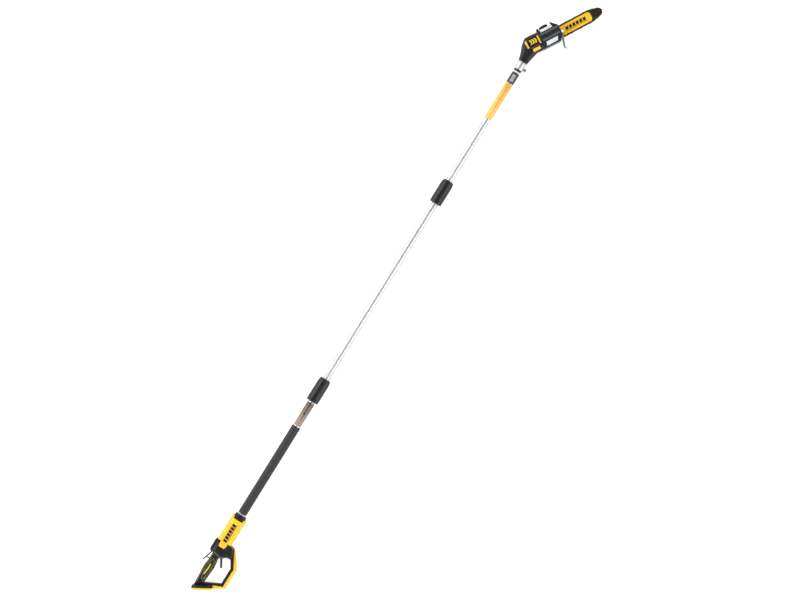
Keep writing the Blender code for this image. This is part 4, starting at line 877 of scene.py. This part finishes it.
# Painted highlight: two raised facets on the black front cover, coloured mid grey so that they read as bands
# of light.
for index, (low, high) in enumerate(((21, 30), (-6, 4))):
    outline = in_mm((50, low), (136 - 2 * index, low), (133, high), (50, high))
    on_head(f"cover_facet_{index}", rounded(outline, 1.5 * MM), (34, 37.2), RIGHT, MID_GREY_AND_HIGHLIGHT,
            0.7 * MM)
COVER_EDGE = in_mm((48, -34), (119, -36.5), (136, -14), (136, 29), (120, 47))
on_head("cover_edge", strip_outline(COVER_EDGE, 1.6 * MM), (34, 36.5), RIGHT, COVER, 0.4 * MM)
EDGE_LINE = in_mm((-12, 47.5), (10, 46.7), (40, 44.9))
on_head("edge_line", strip_outline(EDGE_LINE, 1.4 * MM), (3, 17), RIGHT, YELLOW, 0.3 * MM)


def ribbed(count, depth):
    """Grooves round the rim of a cap, for lathe."""
    def shape(angle, radius):
        if radius < 12 * MM:
            return 1.0
        return 1.0 - depth * (0.5 + 0.5 * math.cos(count * angle)) ** 2
    return shape


def oil_cap():
    profile = [(46.6, 12.4), (46.6, 19.6), (47.2, 20.4), (53, 20.4), (55.4, 19.2), (57.4, 16.6), (58.7, 13),
               (59.3, 8), (59.4, 3), (52, 2.6), (52, 12.4)]
    piece = lathe([(along * MM, radius * MM) for along, radius in profile], 144, True, ribbed(24, 0.07))
    placed(piece, HEAD @ Matrix.Translation((79 * MM, 0, 17 * MM)) @ ALONG_Y)
    outward(piece)
    smooth(piece, 30)
    return ready(piece, "oil_cap_finished", BLACK, "oil_cap", ("oil_cap",))


oil_cap()

# ---------------------------------------------------------------- bar and chain
BAR_Z = -16.3  # middle of the bar's thickness, in millimetres
BAR_SKIN = 2.0  # half its thickness
eased("guide_bar", 0.0, BAR_STEEL)
FACE = rounded(in_mm((140, -20.5), (150, -21.4), (286, -21.4), (293, -12), (293, 12), (286, 21.4),
                     (150, 21.4), (140, 20.5)), 6 * MM)
SLOT = rounded(in_mm((100, -5.6), (152, -5.6), (158, 0), (152, 5.6), (100, 5.6)), 1 * MM)


def bar_plate(outline, side, low, high):
    """A plate between two distances, in millimetres, from the middle of the bar."""
    return plate(outline, *sorted(((BAR_Z + side * low) * MM, (BAR_Z + side * high) * MM)))


def bar_finished(piece, name, side, material):
    ready(piece, side_name(name, side), material, "head_section")


def bar_face(side):
    """Painted face of the bar with its print, groove and rivets, on one side."""
    piece = bar_plate(FACE, side, BAR_SKIN, 2.42)
    carve(piece, plate(SLOT, -30 * MM, 0))
    placed_piece(piece, HEAD)
    bar_finished(piece, "bar_face", side, BAR_PAINT)
    blocks = []
    for index in range(6):
        left = 166 + 17.2 * index
        corners = in_mm((left, -5.5), (left + 13, -5.5), (left + 15.4, 9.5), (left + 2.4, 9.5))
        blocks.append(bar_plate(corners, side, 2.3, 2.55))
    blocks.append(bar_plate(oblong(166, 269, -10, -8), side, 2.3, 2.55))
    label = merged(*blocks)
    placed_piece(label, HEAD)
    bar_finished(label, "bar_mark", side, INK)
    groove = bar_plate(oblong(298, 318, -0.8, 0.8), side, BAR_SKIN, 2.45)
    placed_piece(groove, HEAD)
    bar_finished(groove, "nose_line", side, CUTTER)
    rivets = []
    for x, y in ((322, 6), (322, -6), (334, 0), (300, 9), (300, -9)):
        rivet = lathe([(0, 1.7 * MM), (0.5 * MM, 1.7 * MM), (0.7 * MM, 1.2 * MM)], 16)
        for point in rivet.data.vertices:
            point.co.z *= side
        placed(rivet, Matrix.Translation((x * MM, y * MM, (BAR_Z + side * BAR_SKIN) * MM)))
        rivets.append(rivet)
    rivets = merged(*rivets)
    placed(rivets, HEAD)
    outward(rivets)
    smooth(rivets)
    bar_finished(rivets, "nose_rivets", side, CUTTER)


bar_face(RIGHT)
bar_face(LEFT)

# Rounds that the chain runs over: along, across, radius, in millimetres.
CHAIN_PATH = [(132, 18.4, 6), (132, -18.4, 6), (288, 16.4, 8), (288, -16.4, 8), (328, 0, 14.5), (84, 0, 18.1)]
PITCH_LINE = 2.5  # from those rounds out to the chain's pins


def chain_loop(count=1440):
    """The chain's line: the hull of those rounds, moved out to the pins."""
    points = []
    for step in range(count):
        angle = 2 * math.pi * step / count
        way = Vector((math.cos(angle), math.sin(angle)))
        x, y, radius = max(CHAIN_PATH, key=lambda ring: ring[0] * way.x + ring[1] * way.y + ring[2])
        points.append(Vector((x, y)) + way * (radius + PITCH_LINE))
    return points


def rivet_spots(count):
    """Evenly spaced places along the loop."""
    loop = chain_loop()
    lengths = [0.0]
    for here, after in zip(loop, loop[1:] + loop[:1]):
        lengths.append(lengths[-1] + (after - here).length)
    spots, index = [], 0
    for step in range(count):
        want = lengths[-1] * step / count
        while lengths[index + 1] < want:
            index += 1
        share = (want - lengths[index]) / max(1e-9, lengths[index + 1] - lengths[index])
        spots.append(loop[index].lerp(loop[(index + 1) % len(loop)], share))
    return spots


def stadium(length, radius, steps=5):
    """Outline of a link with round ends."""
    points = []
    for end, turn in ((length, -90), (0, 90)):
        for step in range(steps + 1):
            angle = math.radians(turn + 180 * step / steps)
            points.append(((end + radius * math.cos(angle)) * MM, radius * math.sin(angle) * MM))
    return points


def saw_chain():
    """Side straps, centre links, rivets and cutters, one after another round the bar."""
    count = 56
    spots = rivet_spots(count)
    pitch = (spots[1] - spots[0]).length
    flip = Matrix.Scale(-1, 4, (0, 1, 0))
    strap = plate(stadium(pitch, 2.5), -0.5 * MM, 0.5 * MM, 0.15 * MM, 1)
    link = plate(stadium(pitch, 2.3), -0.7 * MM, 0.7 * MM, 0.15 * MM, 1)
    pin = lathe(in_mm((-2.75, 1.1), (-2.5, 1.4), (2.5, 1.4), (2.75, 1.1)), 10)
    tooth = [(-2.4, -1.2), (0, -2.5), (pitch, -2.5), (pitch + 2.3, -1.0), (pitch + 2.2, 2.0),
             (pitch + 1.2, 3.2), (pitch - 1.4, 3.4), (pitch - 2.6, 0.9), (pitch - 4.0, 0.4), (3.6, 4.2),
             (-2.0, 3.5)]
    cutter = plate(in_mm(*tooth), -0.5 * MM, 0.5 * MM, 0.15 * MM, 1)
    blade = plate(in_mm((-2.1, 3.3), (3.8, 3.9), (3.6, 4.3), (-2.0, 3.9)), -0.3 * MM, 3.0 * MM, 0.1 * MM, 1)
    links, teeth = [], []
    for index, spot in enumerate(spots):
        ahead = spots[(index + 1) % count]
        along = (ahead - spot).normalized()
        turn = Matrix.Rotation(math.atan2(along.y, along.x), 4, "Z")
        place = Matrix.Translation((spot.x * MM, spot.y * MM, BAR_Z * MM)) @ turn @ flip
        links.append(copied(pin, place))
        if index % 2:
            links.append(copied(link, place))
            continue
        cutting = index % 4 == 0
        way = 1 if index % 8 == 0 else -1
        for level in (1, -1):
            lift = Matrix.Translation((0, 0, level * 1.75 * MM))
            if cutting and level == way:
                teeth.append(copied(cutter, place @ lift))
                mirror = Matrix.Scale(-level, 4, (0, 0, 1))
                teeth.append(copied(blade, place @ lift @ mirror))
            else:
                links.append(copied(strap, place @ lift))
    for model in (strap, link, pin, cutter, blade):
        bpy.data.objects.remove(model)
    for pieces, name, material, replaced in ((links, "chain_links", DARK_STEEL, ("saw_chain",)),
                                             (teeth, "chain_cutters", CUTTER, ())):
        piece = merged(*pieces)
        placed(piece, HEAD)
        outward(piece, 0.00001 * MM)
        smooth(piece)
        ready(piece, name, material, "head_section", replaced)


saw_chain()
for index, (x, y) in enumerate(((50, 38), (50, -30), (112, 38), (112, -32))):
    screw_head(f"head_screw_{index}", x, y, 35.6, HEAD, "head_section")
for index in range(5):
    left = 48 + 9 * index
    on_head(f"side_rib_{index}", rounded(oblong(left, left + 4, -20, 22), 1 * MM), (36, 37.9), LEFT, BLACK,
            0.5 * MM)

# ---------------------------------------------------------------- stage
CENTRE_X = 1.24  # middle of the tool's length
floor = start(bpy.ops.mesh.primitive_plane_add, size=14, location=(CENTRE_X, 0, -0.6 * MM))
floor.name = "floor"
pale = Finish("floor_pale", (0.45, 0.45, 0.45), 0.9, Emission_Color=(1, 1, 1, 1), Emission_Strength=0.86)
pale.worn(0.01, 2)
floor.data.materials.append(pale.material)


def soft_sky():
    """Light all round that is bright near the horizon and dim overhead."""
    world = bpy.data.worlds.new("soft_sky")
    bpy.context.scene.world = world
    world.use_nodes = True
    sky = world.node_tree
    height = sky.nodes.new("ShaderNodeSeparateXYZ")
    sky.links.new(sky.nodes.new("ShaderNodeTexCoord").outputs["Generated"], height.inputs[0])
    fade = sky.nodes.new("ShaderNodeValToRGB")
    for element, (position, grey) in zip(fade.color_ramp.elements, ((0.25, 1.0), (0.85, 0.16))):
        element.position, element.color = position, (grey, grey, grey, 1.0)
    sky.links.new(height.outputs["Z"], fade.inputs["Fac"])
    sky.links.new(fade.outputs["Color"], sky.nodes["Background"].inputs["Color"])
    sky.nodes["Background"].inputs["Strength"].default_value = 0.8


def softbox(name, place, aim_x, size, power):
    light = bpy.data.lights.new(name, "AREA")
    light.shape = "RECTANGLE"
    light.size, light.size_y = size
    light.energy = power
    lamp = bpy.data.objects.new(name, light)
    bpy.context.collection.objects.link(lamp)
    lamp.location = place
    lamp.rotation_euler = (Vector((aim_x, 0, 0)) - Vector(place)).to_track_quat("-Z", "Y").to_euler()


soft_sky()
softbox("strip_top", (1.3, 3.2, 2.6), CENTRE_X, (5.0, 1.4), 150)
softbox("strip_low", (1.3, -3.2, 2.6), CENTRE_X, (5.0, 1.4), 120)
softbox("end_light", (-2.8, 0.5, 3.0), 0.6, (2.0, 2.0), 60)
bpy.context.scene.view_settings.view_transform = "Standard"

view = bpy.data.cameras.new("camera")
view.lens = 99.96
view.sensor_width = 36
view.clip_end = 100
camera = bpy.data.objects.new("camera", view)
bpy.context.collection.objects.link(camera)
camera.location = (CENTRE_X, -0.093, MIDDLE + 9.74)
camera.rotation_euler = (0, 0, math.radians(-58.15))
bpy.context.scene.camera = camera
